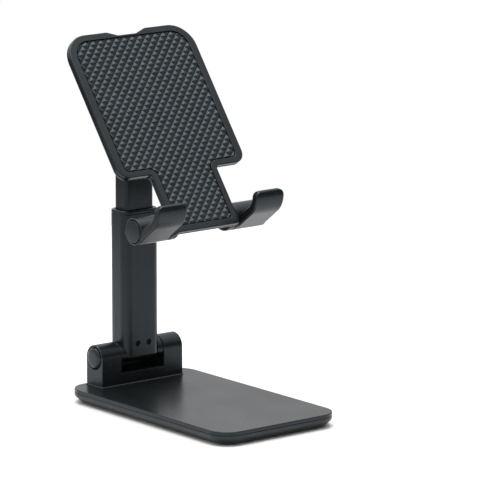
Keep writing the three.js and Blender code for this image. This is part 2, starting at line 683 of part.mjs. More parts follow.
const SHELL_FRONT = FRONT_Y + BEZEL_THICKNESS + FIT_GAP;
const CRADLE_SCREWS = [
  { place: 'upper_left', x: -27, z: 12 },
  { place: 'upper_right', x: 27, z: 12 },
  { place: 'lower_left', x: -27, z: -38 },
  { place: 'lower_right', x: 27, z: -38 },
];
const SHELL_SCREW_RADIUS = 1;
const SHELL_SCREW_HOLE_RADIUS = 1.3;
const SHELL_SCREW_HEAD_RADIUS = 1.8;
const SHELL_SCREW_HEAD_HEIGHT = 0.5;
const SHELL_SCREW_REACH = 1;

/** The same rod from front to back at each of the cradle's screws. */
const atCradleScrews = (radius, y0, y1) =>
  CRADLE_SCREWS.map(({ x, z }) => rodY(radius, y0, y1).translate(x, 0, z));

function cradleShell() {
  const plate = prismY(cradleOutline(), SHELL_FRONT, BACK_Y);

  // The shallow channel that takes the folded column deepens towards the neck's end.
  const channelStart = -9;
  const channelDepth = 0.6;
  const channel = new THREE.Shape();
  channel.moveTo(BACK_Y + 1, channelStart + 1);
  channel.lineTo(BACK_Y, channelStart);
  channel.lineTo(BACK_Y - channelDepth, NECK_BOTTOM - 1);
  channel.lineTo(BACK_Y + 1, NECK_BOTTOM - 1);
  channel.closePath();

  const pedestal = new THREE.Shape();
  pedestal.moveTo(BACK_Y - 0.5, -11);
  pedestal.lineTo(BACK_Y - 0.5, 11);
  pedestal.lineTo(-3, 6.1);
  pedestal.lineTo(-3, -6.1);
  pedestal.closePath();

  const upperLugs = SIDES.flatMap(({ sign }) => [
    rodX(UPPER_BARREL_RADIUS, sign * UPPER_LUG_INNER, sign * UPPER_LUG_OUTER),
    prismX(pedestal, sign * UPPER_LUG_INNER, sign * UPPER_LUG_OUTER),
  ]);
  const counterbores = SIDES.map(({ sign }) => rodX(COUNTERBORE_RADIUS, sign * UPPER_SEAT, sign * 30));
  const upperBore = rodX(BORE_RADIUS, -30, 30);

  const rear = box(-60, 60, SHELL_FRONT, 30, -120, 60);
  const hookLugs = SIDES.flatMap(({ sign }) => {
    const straight = rodX(HOOK_RADIUS, sign * HOOK_LUG_ROUND, sign * (NECK_HALF - 0.02));
    const dome = domeX(HOOK_RADIUS, sign * (HOOK_LUG_ROUND + 0.1), sign * HOOK_LUG_DOME);
    return [straight, dome].map((part) => keepWithin(part.translate(0, HOOK_AXIS_Y, HOOK_AXIS_Z), rear));
  });
  const hookBores = SIDES.map(({ sign }) => {
    const bore = rodX(HOOK_BORE_RADIUS, sign * (HOOK_PIN_INNER - FIT_GAP), sign * 30, SMALL_ROUND);
    return bore.translate(0, HOOK_AXIS_Y, HOOK_AXIS_Z);
  });
  const screwTip = SHELL_FRONT + SHELL_SCREW_REACH;
  const screwHoles = atCradleScrews(SHELL_SCREW_HOLE_RADIUS, SHELL_FRONT - 1, screwTip + FIT_GAP);

  const body = join(cut(plate, prismX(channel, -CHANNEL_HALF, CHANNEL_HALF)), ...upperLugs, ...hookLugs);
  const holes = [...counterbores, upperBore, ...hookBores, ...screwHoles];
  return piece('cradle_shell', cut(body, ...holes), SHELL_PLASTIC);
}

/** The front frame: a rim with a thin web behind the pad, which its screws go through. */
function cradleBezel() {
  const rearY = SHELL_FRONT - FIT_GAP;
  const rim = prismY(cradleOutline(), FRONT_Y, rearY);
  const window = prismY(padOutline(PAD_CLEARANCE), FRONT_Y - 1, rearY - WEB_THICKNESS);
  const screwHoles = atCradleScrews(SHELL_SCREW_HOLE_RADIUS, FRONT_Y - 1, BACK_Y);
  return piece('cradle_bezel', cut(rim, window, ...screwHoles), SHELL_PLASTIC);
}

function gripPad() {
  const rearY = FRONT_Y + BEZEL_THICKNESS - WEB_THICKNESS - PAD_SEAT;
  const pad = prismY(padOutline(), FRONT_Y, rearY);
  const roomFront = rearY - SHELL_SCREW_HEAD_HEIGHT - 0.2;
  const headRooms = atCradleScrews(SHELL_SCREW_HEAD_RADIUS + FIT_GAP, roomFront, rearY + 1);
  return piece('grip_pad', cut(pad, ...headRooms), SILICONE);
}

function cradleScrew(place) {
  const headRear = FRONT_Y + BEZEL_THICKNESS - WEB_THICKNESS - 0.05;
  const head = rodY(SHELL_SCREW_HEAD_RADIUS, headRear - SHELL_SCREW_HEAD_HEIGHT, headRear);
  const shank = rodY(SHELL_SCREW_RADIUS, headRear - 0.1, SHELL_FRONT + SHELL_SCREW_REACH);
  return piece(`shell_screw_${place}`, join(head, shank), BLACK_STEEL);
}

function upperHingeShaft() {
  const seat = UPPER_SEAT + FIT_GAP;
  const meshes = [
    piece('upper_hinge_bolt', hingeBolt(seat, UPPER_HEAD_HEIGHT), STEEL),
    piece('upper_hinge_nut', nutX(seat, seat + UPPER_HEAD_HEIGHT), STEEL),
  ];
  SIDES.forEach(({ side, sign }) => {
    const from = sign > 0 ? UPPER_BARREL_HALF + 0.15 : -UPPER_BARREL_HALF - 0.15 - WASHER_THICKNESS;
    const washer = washerX(WASHER_RADIUS, BORE_RADIUS, from, from + WASHER_THICKNESS);
    meshes.push(piece(`upper_washer_${side}`, washer, STEEL));
  });
  return meshes;
}

// ---------------------------------------------------------------------------------------------
// Hooks
// ---------------------------------------------------------------------------------------------

/** The side view of a hook's tongue in Y and Z: a thick flat part that bends up into a lip. */
function tongueProfile() {
  const bend = THREE.MathUtils.degToRad(TONGUE_BEND_DEG);
  const centreZ = TONGUE_BEND_RADIUS - HOOK_RADIUS;
  const along = [Math.cos(bend), Math.sin(bend)];
  const outerEnd = [
    TONGUE_FLAT + TONGUE_BEND_RADIUS * Math.sin(bend),
    centreZ - TONGUE_BEND_RADIUS * Math.cos(bend),
  ];
  const tip = [outerEnd[0] + LIP_STRAIGHT * along[0], outerEnd[1] + LIP_STRAIGHT * along[1]];
  const innerTip = [tip[0] - LIP_THICKNESS * along[1], tip[1] + LIP_THICKNESS * along[0]];
  const innerFloor = TONGUE_ROOT_THICKNESS - HOOK_RADIUS;
  const innerRadius = TONGUE_BEND_RADIUS - LIP_THICKNESS - 0.4;
  const down = -Math.PI / 2;
  const crownY = -(innerTip[0] + tip[0]) / 2 - 0.3;

  const profile = new THREE.Shape();
  profile.moveTo(0, -HOOK_RADIUS);
  profile.lineTo(0, innerFloor);
  profile.lineTo(-TONGUE_FLAT, innerFloor);
  profile.absarc(-TONGUE_FLAT, innerFloor + innerRadius, innerRadius, down, down - bend, true);
  profile.lineTo(-innerTip[0] - 0.4, innerTip[1] - 0.4);
  profile.quadraticCurveTo(-innerTip[0] - 0.6, innerTip[1] + 0.3, crownY, tip[1] + 1);
  profile.quadraticCurveTo(-tip[0] - 0.5, tip[1] + 0.7, -tip[0], tip[1] - 0.3);
  profile.lineTo(-outerEnd[0], outerEnd[1]);
  profile.absarc(-TONGUE_FLAT, centreZ, TONGUE_BEND_RADIUS, down - bend, down, false);
  profile.closePath();
  return profile;
}

function hook(side, sign) {
  const edges = [sign * TONGUE_INNER, sign * TONGUE_OUTER];
  const [low, high] = [Math.min(...edges), Math.max(...edges)];
  const bend = THREE.MathUtils.degToRad(TONGUE_BEND_DEG);
  const tipY = -(TONGUE_FLAT + TONGUE_BEND_RADIUS * Math.sin(bend) + TIP_ROUNDING);
  const plan = roundedShape([
    [low, tipY, LIP_CORNER],
    [high, tipY, LIP_CORNER],
    [high, HOOK_RADIUS, 0],
    [low, HOOK_RADIUS, 0],
  ]);
  const tongue = keepWithin(prismX(tongueProfile(), low, high, 5), prismZ(plan, -20, 20, 3));
  const barrel = rodX(HOOK_RADIUS, sign * HOOK_INNER, sign * HOOK_OUTER);
  const bore = rodX(HOOK_BORE_RADIUS, sign * (HOOK_INNER - 1), sign * HOOK_OUTER, SMALL_ROUND);
  const headRoom = rodX(HOOK_PIN_HEAD_RADIUS + 0.4, sign * HOOK_PIN_SEAT, sign * (HOOK_OUTER + 1));
  const capFloor = sign * (HOOK_OUTER - HOOK_CAP_DEPTH);
  const capSeat = rodX(HOOK_CAP_RADIUS + FIT_GAP, capFloor, sign * (HOOK_OUTER + 1));
  return piece(`${side}_hook`, cut(join(barrel, tongue), bore, headRoom, capSeat), SHELL_PLASTIC);
}

function hookPin(side, sign) {
  const headInner = HOOK_PIN_SEAT + FIT_GAP;
  const shaft = rodX(HOOK_PIN_RADIUS, sign * HOOK_PIN_INNER, sign * (headInner + 0.1), SMALL_ROUND);
  const head = rodX(HOOK_PIN_HEAD_RADIUS, sign * headInner, sign * (headInner + HOOK_PIN_HEAD_HEIGHT));
  return piece(`${side}_hook_pin`, join(shaft, head), STEEL);
}

function hookCap(side, sign) {
  const seat = HOOK_OUTER - HOOK_CAP_DEPTH + FIT_GAP;
  const disc = rodX(HOOK_CAP_RADIUS, sign * seat, sign * HOOK_OUTER);
  const crown = domeX(HOOK_CAP_RADIUS, sign * (HOOK_OUTER - 0.01), sign * (HOOK_OUTER + HOOK_CAP_PROUD), 3);
  return piece(`${side}_hook_cap`, join(disc, crown), TRIM_PLASTIC);
}

function cradle() {
  const group = new THREE.Group();
  group.position.set(0, HINGE_Y, UPPER_AXIS_Z);
  group.rotation.x = THREE.MathUtils.degToRad(-CRADLE_LEAN_DEG);
  group.add(cradleShell(), cradleBezel(), gripPad(), ...upperHingeShaft());
  CRADLE_SCREWS.forEach(({ place, x, z }) => {
    const screw = cradleScrew(place);
    screw.position.set(x, 0, z);
    group.add(screw);
  });
  const hooks = new THREE.Group();
  hooks.position.set(0, HOOK_AXIS_Y, HOOK_AXIS_Z);
  SIDES.forEach(({ side, sign }) => {
    const lugCap = join(
      rodX(UPPER_BARREL_RADIUS, sign * (UPPER_LUG_OUTER + FIT_GAP), sign * DOME_ROOT),
      domeX(UPPER_BARREL_RADIUS, sign * (DOME_ROOT - 0.1), sign * DOME_TIP),
    );
    group.add(piece(`upper_dome_${side}`, lugCap, SHELL_PLASTIC));
    hooks.add(hook(side, sign), hookPin(side, sign), hookCap(side, sign));
  });
  group.add(hooks);
  return group;
}

// ---------------------------------------------------------------------------------------------
// Whole stand
// ---------------------------------------------------------------------------------------------

const stand = new THREE.Group();
stand.add(base(), lowerHinge(), lowerColumn(), upperColumn(), cradle());

export default stand;
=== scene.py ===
import json
import math

import bmesh
import bpy
from mathutils import Matrix, Vector


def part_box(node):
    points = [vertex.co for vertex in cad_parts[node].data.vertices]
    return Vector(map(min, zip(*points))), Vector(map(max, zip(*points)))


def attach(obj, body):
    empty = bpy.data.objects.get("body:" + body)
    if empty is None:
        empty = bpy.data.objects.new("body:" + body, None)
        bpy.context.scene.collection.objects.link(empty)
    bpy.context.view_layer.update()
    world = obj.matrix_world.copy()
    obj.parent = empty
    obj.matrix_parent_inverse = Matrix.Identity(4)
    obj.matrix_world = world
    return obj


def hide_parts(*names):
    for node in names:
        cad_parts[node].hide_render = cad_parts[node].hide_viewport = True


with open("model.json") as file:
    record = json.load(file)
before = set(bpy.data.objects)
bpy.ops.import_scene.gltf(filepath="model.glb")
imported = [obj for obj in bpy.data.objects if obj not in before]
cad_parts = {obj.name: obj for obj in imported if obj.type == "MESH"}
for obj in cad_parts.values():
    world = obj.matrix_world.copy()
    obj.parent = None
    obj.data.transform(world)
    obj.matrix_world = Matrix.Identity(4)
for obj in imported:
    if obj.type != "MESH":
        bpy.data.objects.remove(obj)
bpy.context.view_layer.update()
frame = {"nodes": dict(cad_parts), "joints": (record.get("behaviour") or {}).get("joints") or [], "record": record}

# Shapes are drawn in millimetres, in the part's frame or in a local frame on a joint's axis, and
# turned into metres when they are placed. X is to the right, -Y to the front and Z up.

MM = 0.001
JOINTS = {joint["name"]: joint for joint in frame["joints"]}
LOWER_AXIS = Vector(JOINTS["column_fold"]["pos_m"]) / MM
UPPER_AXIS = Vector(JOINTS["cradle_tilt"]["pos_m"]) / MM
CRADLE_LEAN = math.radians(-36.6)

CORNER_STEPS = 10
FILLET_STEPS = 4
ROUND_STEPS = 64
SMALL_ROUND_STEPS = 24
FIT_GAP = 0.3

SIDES = (("left", -1), ("right", 1))


def node_box(node):
    """Lowest and highest corner of a CAD node, in millimetres."""
    low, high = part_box(node)
    return Vector(low) / MM, Vector(high) / MM


def node_ends(node, sign):
    """The ends of a CAD node along X: the one next to the middle of the stand, then the outer one."""
    low, high = node_box(node)
    return (low.x, high.x) if sign > 0 else (high.x, low.x)


def middle_z(node):
    """The height of a CAD node's middle."""
    low, high = node_box(node)
    return (low.z + high.z) / 2


# ------------------------------------------------------------------------------------------------
# Outlines
# ------------------------------------------------------------------------------------------------


def outline(corners, inset=0.0):
    """Points round a polygon of (x, y, radius) corners, counter-clockwise, moved inwards by inset."""
    points = []
    count = len(corners)
    for index in range(count):
        here = Vector(corners[index][:2])
        arriving = (here - Vector(corners[index - 1][:2])).normalized()
        leaving = (Vector(corners[(index + 1) % count][:2]) - here).normalized()
        arriving_side = Vector((-arriving.y, arriving.x))
        leaving_side = Vector((-leaving.y, leaving.x))
        corner = here + (arriving_side + leaving_side) * (inset / (1 + arriving_side.dot(leaving_side)))
        turn = math.atan2(arriving.cross(leaving), arriving.dot(leaving))
        side = 1 if turn > 0 else -1
        radius = max(corners[index][2] - side * inset, 0.02)
        start = corner - arriving * (radius * math.tan(abs(turn) / 2))
        centre = start + arriving_side * (side * radius)
        for step in range(CORNER_STEPS + 1):
            points.append(centre + Matrix.Rotation(turn * step / CORNER_STEPS, 2) @ (start - centre))
    return points


def rectangle(width, depth, radius):
    """Corners of a rounded rectangle about the origin."""
    x, y = width / 2, depth / 2
    return [(-x, -y, radius), (x, -y, radius), (x, y, radius), (-x, y, radius)]


def circle(radius, steps=ROUND_STEPS):
    """Points round a circle, counter-clockwise."""
    angles = [math.tau * step / steps for step in range(steps)]
    return [Vector((math.cos(angle), math.sin(angle))) * radius for angle in angles]


def rounded_levels(low, high, low_radius, high_radius):
    """(inset, height) rows for a solid from low to high whose two rims are rounded."""
    rows = []
    for step in range(FILLET_STEPS + 1):
        angle = math.pi / 2 * step / FILLET_STEPS
        rows.append((low_radius * (1 - math.sin(angle)), low + low_radius * (1 - math.cos(angle))))
    for step in range(FILLET_STEPS + 1):
        angle = math.pi / 2 * step / FILLET_STEPS
        rows.append((high_radius * (1 - math.cos(angle)), high - high_radius * (1 - math.sin(angle))))
    if low_radius == 0:
        rows = rows[FILLET_STEPS:]
    if high_radius == 0:
        rows = rows[:-FILLET_STEPS]
    return rows


# ------------------------------------------------------------------------------------------------
# Solids
# ------------------------------------------------------------------------------------------------

PLACED = {
    "x": lambda point, height: (height, point[0], point[1]),
    "y": lambda point, height: (point[0], height, point[1]),
    "z": lambda point, height: (point[0], point[1], height),
}


def skin(rings, looped=False):
    """A closed surface through rings of points: capped at both ends, or joined end to end."""
    solid = bmesh.new()
    loops = [[solid.verts.new(point) for point in ring] for ring in rings]
    pairs = list(zip(loops, loops[1:]))
    if looped:
        pairs.append((loops[-1], loops[0]))
    else:
        solid.faces.new(loops[0])
        solid.faces.new(loops[-1])
    count = len(loops[0])
    for low, high in pairs:
        for index in range(count):
            following = (index + 1) % count
            solid.faces.new((low[index], low[following], high[following], high[index]))
    bmesh.ops.recalc_face_normals(solid, faces=solid.faces)
    return solid


def prism(axis, corners, levels):
    """A solid along an axis: a rounded polygon, moved inwards by each level's inset at its height."""
    place = PLACED[axis]
    return skin([[place(p, height) for p in outline(corners, inset)] for inset, height in levels])


def turned(axis, profile, steps=ROUND_STEPS, centre=(0, 0)):
    """A solid of revolution about an axis through centre, from (radius, station) rows."""
    place = PLACED[axis]
    middle = Vector(centre)
    rings = []
    for radius, station in profile:
        rings.append([place(middle + point, station) for point in circle(radius, steps)])
    return skin(rings)


def rod(axis, radius, low, high, rim=0.0, steps=ROUND_STEPS, centre=(0, 0)):
    """A cylinder between two stations on its axis, with its rims rounded."""
    levels = rounded_levels(min(low, high), max(low, high), rim, rim)
    return turned(axis, [(radius - inset, station) for inset, station in levels], steps, centre)


def block(low, high):
    """A plain box between two corners."""
    solid = bmesh.new()
    size = Vector(high) - Vector(low)
    middle = (Vector(high) + Vector(low)) / 2
    matrix = Matrix.Translation(middle) @ Matrix.Diagonal((*size, 1))
    bmesh.ops.create_cube(solid, size=1, matrix=matrix)
    return solid


def moved(solid, x=0, y=0, z=0):
    """The same solid, moved."""
    bmesh.ops.translate(solid, verts=solid.verts, vec=(x, y, z))
    return solid


def shape(name, solid):
    """A new object with this solid as its mesh."""
    mesh = bpy.data.meshes.new(name)
    solid.to_mesh(mesh)
    solid.free()
    made = bpy.data.objects.new(name, mesh)
    bpy.context.scene.collection.objects.link(made)
    return made


def apply_modifiers(made):
    """Turns an object's modifiers into its mesh."""
    graph = bpy.context.evaluated_depsgraph_get()
    result = bpy.data.meshes.new_from_object(made.evaluated_get(graph))
    plain = made.data
    made.modifiers.clear()
    made.data = result
    bpy.data.meshes.remove(plain)
    result.name = made.name


def taken(made):
    """An object's solid, which replaces the object."""
    solid = bmesh.new()
    solid.from_mesh(made.data)
    bpy.data.objects.remove(made)
    return solid


def combine(made, operation, solids):
    """Joins solids to an object, or cuts them out of it, one after another."""
    for solid in solids:
        tool = shape("tool", solid)
        change = made.modifiers.new("change", "BOOLEAN")
        change.operation = operation
        change.solver = "EXACT"
        change.object = tool
        apply_modifiers(made)
        bpy.data.objects.remove(tool)


def join(made, *solids):
    combine(made, "UNION", solids)


def cut(made, *solids):
    combine(made, "DIFFERENCE", solids)


def keep_within(made, *solids):
    combine(made, "INTERSECT", solids)


def soften(made, width, angle=40):
    """Rounds the edges sharper than angle, in degrees, that cuts and joins have left."""
    rounding = made.modifiers.new("rounding", "BEVEL")
    rounding.width = width
    rounding.segments = FILLET_STEPS
    rounding.limit_method = "ANGLE"
    rounding.angle_limit = math.radians(angle)
    rounding.use_clamp_overlap = True
    rounding.miter_outer = "MITER_ARC"
    apply_modifiers(made)


def mark_edges(mesh):
    """Stores where the mesh is a narrow rounded edge, where moulded plastic gets a painted highlight and a little
    more gloss.
    """
    flat_angle, round_angle, sharp_angle = 13, 21, 50
    solid = bmesh.new()
    solid.from_mesh(mesh)
    values = []
    for vertex in solid.verts:
        edges = [edge for edge in vertex.link_edges if edge.is_manifold]
        angles = [math.degrees(edge.calc_face_angle(0)) for edge in edges]
        widest = max(angles, default=0)
        share = (widest - flat_angle) / (round_angle - flat_angle)
        values.append(0 if widest > sharp_angle else min(max(share, 0), 1))
    solid.free()
    mesh.attributes.new("edge", "FLOAT", "POINT").data.foreach_set("value", values)


def smooth(made):
    """Smooth shading that keeps flat faces flat and real edges sharp."""
    mesh = made.data
    mesh.polygons.foreach_set("use_smooth", [True] * len(mesh.polygons))
    mesh.set_sharp_from_angle(angle=math.radians(38))
    weighting = made.modifiers.new("weighting", "WEIGHTED_NORMAL")
    weighting.keep_sharp = True
    weighting.mode = "FACE_AREA_WITH_ANGLE"
    apply_modifiers(made)


def release(made, place, body, nodes, material):
    """Puts a finished millimetre shape where it belongs and lets it stand for its CAD nodes."""
    made.data.transform(Matrix.Scale(MM, 4) @ place)
    smooth(made)
    mark_edges(made.data)
    made.data.materials.clear()
    made.data.materials.append(material["material"])
    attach(made, body)
    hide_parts(*nodes)
    return made


# ------------------------------------------------------------------------------------------------
# Materials
# ------------------------------------------------------------------------------------------------


def linear(code):
    """A scene colour from an sRGB code such as "3b4043"."""
    channels = [int(code[index:index + 2], 16) / 255 for index in (0, 2, 4)]
    return (*[c / 12.92 if c <= 0.04045 else ((c + 0.055) / 1.055) ** 2.4 for c in channels], 1)


class Tree:
    """A node tree, and short calls that add to it."""

    def __init__(self, tree):
        self.tree = tree

    def add(self, kind, **settings):
        node = self.tree.nodes.new(kind)
        for name, value in settings.items():
            setattr(node, name, value)
        return node

    def link(self, output, target):
        self.tree.links.new(output, target)

    def feed(self, sockets, values):
        """Gives each socket a number, a colour or another node's output."""
        for socket, value in zip(sockets, values):
            if isinstance(value, bpy.types.NodeSocket):
                self.link(value, socket)
            else:
                socket.default_value = value

    def ranged(self, value, low, high, source=(0.3, 0.7), interpolation="LINEAR"):
        """value, as a number from low to high."""
        node = self.add("ShaderNodeMapRange", interpolation_type=interpolation)
        node.inputs["From Min"].default_value = source[0]
        node.inputs["From Max"].default_value = source[1]
        node.inputs["To Min"].default_value = low
        node.inputs["To Max"].default_value = high
        self.link(value, node.inputs["Value"])
        return node.outputs["Result"]

    def math(self, operation, *values):
        node = self.add("ShaderNodeMath", operation=operation)
        self.feed(node.inputs, values)
        return node.outputs["Value"]

    def mix(self, share, first, second):
        """first where share is 0 and second where it is 1."""
        node = self.add("ShaderNodeMix", data_type="RGBA")
        self.feed([socket for socket in node.inputs if socket.type == "RGBA"], (first, second))
        self.link(share, node.inputs["Factor"])
        return next(socket for socket in node.outputs if socket.type == "RGBA")


class Material(Tree):
    """A new material with a Principled shader."""

    def __init__(self, name):
        self.material = bpy.data.materials.new(name)
        self.material.use_nodes = True
        super().__init__(self.material.node_tree)
        self.shader = self.tree.nodes["Principled BSDF"]
        self.place = self.add("ShaderNodeTexCoord").outputs["Object"]

    def noise(self, size_mm, detail=3, roughness=0.5, stretch=(1, 1, 1)):
        """Noise whose features are about size_mm across."""
        mapping = self.add("ShaderNodeMapping")
        mapping.inputs["Scale"].default_value = [1 / (size_mm * MM * s) for s in stretch]
        self.link(self.place, mapping.inputs["Vector"])
        noise = self.add("ShaderNodeTexNoise")
        noise.inputs["Scale"].default_value = 1
        noise.inputs["Detail"].default_value = detail
        noise.inputs["Roughness"].default_value = roughness
        self.link(mapping.outputs["Vector"], noise.inputs["Vector"])
        return noise.outputs["Fac"]

    def grains(self, size_mm):
        """Rounded cells about size_mm across, as a spark-eroded mould leaves them."""
        cells = self.add("ShaderNodeTexVoronoi", feature="SMOOTH_F1")
        cells.inputs["Scale"].default_value = 1 / (size_mm * MM)
        cells.inputs["Smoothness"].default_value = 0.6
        self.link(self.place, cells.inputs["Vector"])
        return cells.outputs["Distance"]

    def bump(self, *layers):
        """Stacks (height, depth in millimetres) layers into the shader's normal."""
        normal = None
        for height, depth in layers:
            node = self.add("ShaderNodeBump")
            node.inputs["Distance"].default_value = depth * MM
            node.inputs["Strength"].default_value = 1
            self.link(height, node.inputs["Height"])
            if normal is not None:
                self.link(normal, node.inputs["Normal"])
            normal = node.outputs["Normal"]
        self.link(normal, self.shader.inputs["Normal"])

    def edge(self):
        """1 on the narrow rounded edges that mark_edges found."""
        return self.add("ShaderNodeAttribute", attribute_name="edge").outputs["Fac"]


COOL_GLOSS = (0.8, 0.92, 1.0, 1)


def moulded_plastic(name, slot, dark, light, speckle_and_sheen, roughness, grain_mm, grain_depth):
    """Satin moulded plastic: eroded grain, faint flow marks, light speckles and a painted highlight on the narrow
    rounded edges, which are also a little glossier.
    """
    nodes = Material(name)
    cloud = nodes.noise(22, detail=4)
    fine = nodes.noise(grain_mm * 0.6, detail=2)
    colour = nodes.mix(nodes.ranged(cloud, 0, 1), linear(dark), linear(light))
    speckle = nodes.mix(nodes.ranged(fine, 0, 0.3, (0.45, 0.75)), colour, linear(speckle_and_sheen))
    # painted highlight: the narrow rounded edges are lightened, in patches, towards the speckle colour and made a
    # little glossier
    edge_sheen = nodes.math("MULTIPLY", nodes.edge(), nodes.ranged(nodes.noise(3.5, detail=5), 0.25, 0.9))
    with_edge_sheen = nodes.mix(nodes.math("MULTIPLY", edge_sheen, 0.6), speckle, linear(speckle_and_sheen))
    nodes.link(with_edge_sheen, nodes.shader.inputs["Base Color"])
    gloss = nodes.math("ADD", nodes.ranged(cloud, -0.03, 0.03), nodes.ranged(fine, -0.05, 0.05))
    matt = nodes.math("ADD", gloss, roughness)
    rough = nodes.math("SUBTRACT", matt, nodes.math("MULTIPLY", edge_sheen, 0.1))
    nodes.link(rough, nodes.shader.inputs["Roughness"])
    nodes.shader.inputs["Specular IOR Level"].default_value = 0.36
    nodes.shader.inputs["Specular Tint"].default_value = COOL_GLOSS
    nodes.bump((nodes.grains(grain_mm), grain_depth), (fine, grain_depth * 0.5))
    return {"material": nodes.material, "slot": slot}


def silicone_rubber(name, slot, dark, light, roughness):
    """Matte moulded silicone with a dusty bloom."""
    nodes = Material(name)
    cloud = nodes.noise(9, detail=5)
    dust = nodes.noise(0.5, detail=3)
    colour = nodes.mix(nodes.ranged(cloud, 0, 1), linear(dark), linear(light))
    dusty = nodes.mix(nodes.ranged(dust, 0, 0.3), colour, linear(light))
    nodes.link(dusty, nodes.shader.inputs["Base Color"])
    nodes.link(nodes.ranged(dust, roughness - 0.06, roughness + 0.06), nodes.shader.inputs["Roughness"])
    nodes.shader.inputs["Sheen Weight"].default_value = 0.05
    nodes.shader.inputs["Sheen Roughness"].default_value = 0.4
    nodes.shader.inputs["Specular IOR Level"].default_value = 0.5
    nodes.shader.inputs["Specular Tint"].default_value = COOL_GLOSS
    nodes.bump((nodes.noise(0.35, detail=3), 0.02))
    return {"material": nodes.material, "slot": slot}


def machined_metal(name, slot, dark, light, roughness):
    """Plated or blackened steel with turning marks round the X axis."""
    nodes = Material(name)
    marks = nodes.noise(0.25, detail=2, stretch=(1, 30, 30))
    stain = nodes.noise(4, detail=4)
    colour = nodes.mix(nodes.ranged(stain, 0, 1), linear(dark), linear(light))
    nodes.link(colour, nodes.shader.inputs["Base Color"])
    nodes.shader.inputs["Metallic"].default_value = 1
    rough = nodes.ranged(marks, roughness - 0.08, roughness + 0.12)
    nodes.link(rough, nodes.shader.inputs["Roughness"])
    nodes.bump((marks, 0.012))
    return {"material": nodes.material, "slot": slot}


SHELL = moulded_plastic("shell_plastic", "shell_plastic", "0f1214", "15181a", "282c2e", 0.3, 0.5, 0.008)
COLUMN = moulded_plastic("column_plastic", "column_plastic", "101315", "141719", "272b2d", 0.3, 0.45, 0.006)
TRIM = moulded_plastic("trim_plastic", "trim_plastic", "121517", "16191b", "292d2f", 0.32, 0.45, 0.006)
SILICONE = silicone_rubber("silicone", "silicone", "181b1d", "232729", 0.52)
RUBBER = silicone_rubber("rubber", "rubber", "101112", "1a1b1c", 0.8)
STEEL = machined_metal("steel", "steel", "84878b", "a3a6a9", 0.3)
BLACK_STEEL = machined_metal("black_steel", "black_screws", "17181a", "26272a", 0.42)

# ------------------------------------------------------------------------------------------------
# Base
# ------------------------------------------------------------------------------------------------

BASE_CORNER = 10.7
BASE_PAD_CORNER = 6
BASE_SCREW_BORE = 1.5
BLOCK_SCREW_BORE = 1.6
PARTING_GAP = 0.15
HERE = Matrix.Identity(4)


def base_corners():
    """The rounded rectangle of the base, seen from above."""
    low, high = node_box("base_cover")
    return rectangle(high.x - low.x, high.y - low.y, BASE_CORNER)


def screw_places():
    """Middles of the four screws that close the base."""
    for end in ("front", "rear"):
        for side in ("left", "right"):
            low, high = node_box(f"base_screw_{end}_{side}")
            yield (low + high) / 2


def block_screw_places():
    """Middles of the two screws that hold the yoke."""
    for side, _ in SIDES:
        low, high = node_box(f"block_screw_{side}")
        yield (low + high) / 2


def base_cover():
    """The flat lid: a satin plate with a rolled edge, on four hidden bosses."""
    low, high = node_box("base_cover")
    bottom = node_box("base_tray")[1].z + PARTING_GAP
    levels = rounded_levels(bottom, high.z, 0.12, 0.4)
    cover = shape("base_cover_skin", prism("z", base_corners(), levels))
    boss_radius, bore_top = 3.2, high.z - 0.8
    for place in screw_places():
        join(cover, rod("z", boss_radius, low.z, bottom + 0.5, steps=SMALL_ROUND_STEPS, centre=place.xy))
        cut(cover, rod("z", BASE_SCREW_BORE, low.z - 1, bore_top, steps=SMALL_ROUND_STEPS, centre=place.xy))
    for place in block_screw_places():
        bore = (bottom - 1, high.z + 1)
        cut(cover, rod("z", BLOCK_SCREW_BORE, *bore, steps=SMALL_ROUND_STEPS, centre=place.xy))
    return release(cover, HERE, "base", ["base_cover"], SHELL)


def base_tray():
    """The tub under the lid: a short upright skirt over a wide chamfer, open inside."""
    low, high = node_box("base_tray")
    chamfer, wall, floor, bend = 3.0, 1.8, 1.4, 0.6
    slope_top = low.z + chamfer
    outside = [
        (chamfer + bend, low.z),
        (chamfer, low.z + bend * 0.3),
        (chamfer * 0.5, low.z + chamfer * 0.5 + bend * 0.1),
        (bend * 0.35, slope_top - bend * 0.2),
        (0, slope_top + bend * 0.4),
        (0, high.z - 0.12),
        (0.04, high.z - 0.04),
        (0.12, high.z),
    ]
    inside = [
        (wall, high.z),
        (wall, low.z + floor + 1.5),
        (wall + chamfer / 2, low.z + floor),
    ]
    post_radius, post_top, head_radius, head_top = 4.2, 4, 2.4, 3
    tray = shape("base_tray_skin", prism("z", base_corners(), outside + inside))
    for place in screw_places():
        post = (low.z + floor - 0.2, post_top)
        join(tray, rod("z", post_radius, *post, steps=SMALL_ROUND_STEPS, centre=place.xy))
    pad_low, pad_high = node_box("base_pad")
    width, length = pad_high.x - pad_low.x, pad_high.y - pad_low.y
    room = rectangle(width + 2 * FIT_GAP, length + 2 * FIT_GAP, BASE_PAD_CORNER + FIT_GAP)
    cut(tray, prism("z", room, [(0, -1), (0, pad_high.z + FIT_GAP)]))
    for place in screw_places():
        cut(tray, rod("z", head_radius, -1, head_top, steps=SMALL_ROUND_STEPS, centre=place.xy))
        cut(tray, rod("z", BASE_SCREW_BORE, -1, 6, steps=SMALL_ROUND_STEPS, centre=place.xy))
    return release(tray, HERE, "base", ["base_tray"], SHELL)


def base_pad():
    """The anti-slip sheet under the base."""
    low, high = node_box("base_pad")
    corners = rectangle(high.x - low.x, high.y - low.y, BASE_PAD_CORNER)
    pad = shape("base_pad_skin", prism("z", corners, rounded_levels(low.z, high.z, 0.3, 0)))
    return release(pad, HERE, "base", ["base_pad"], RUBBER)


# ------------------------------------------------------------------------------------------------
# Lower hinge
# ------------------------------------------------------------------------------------------------

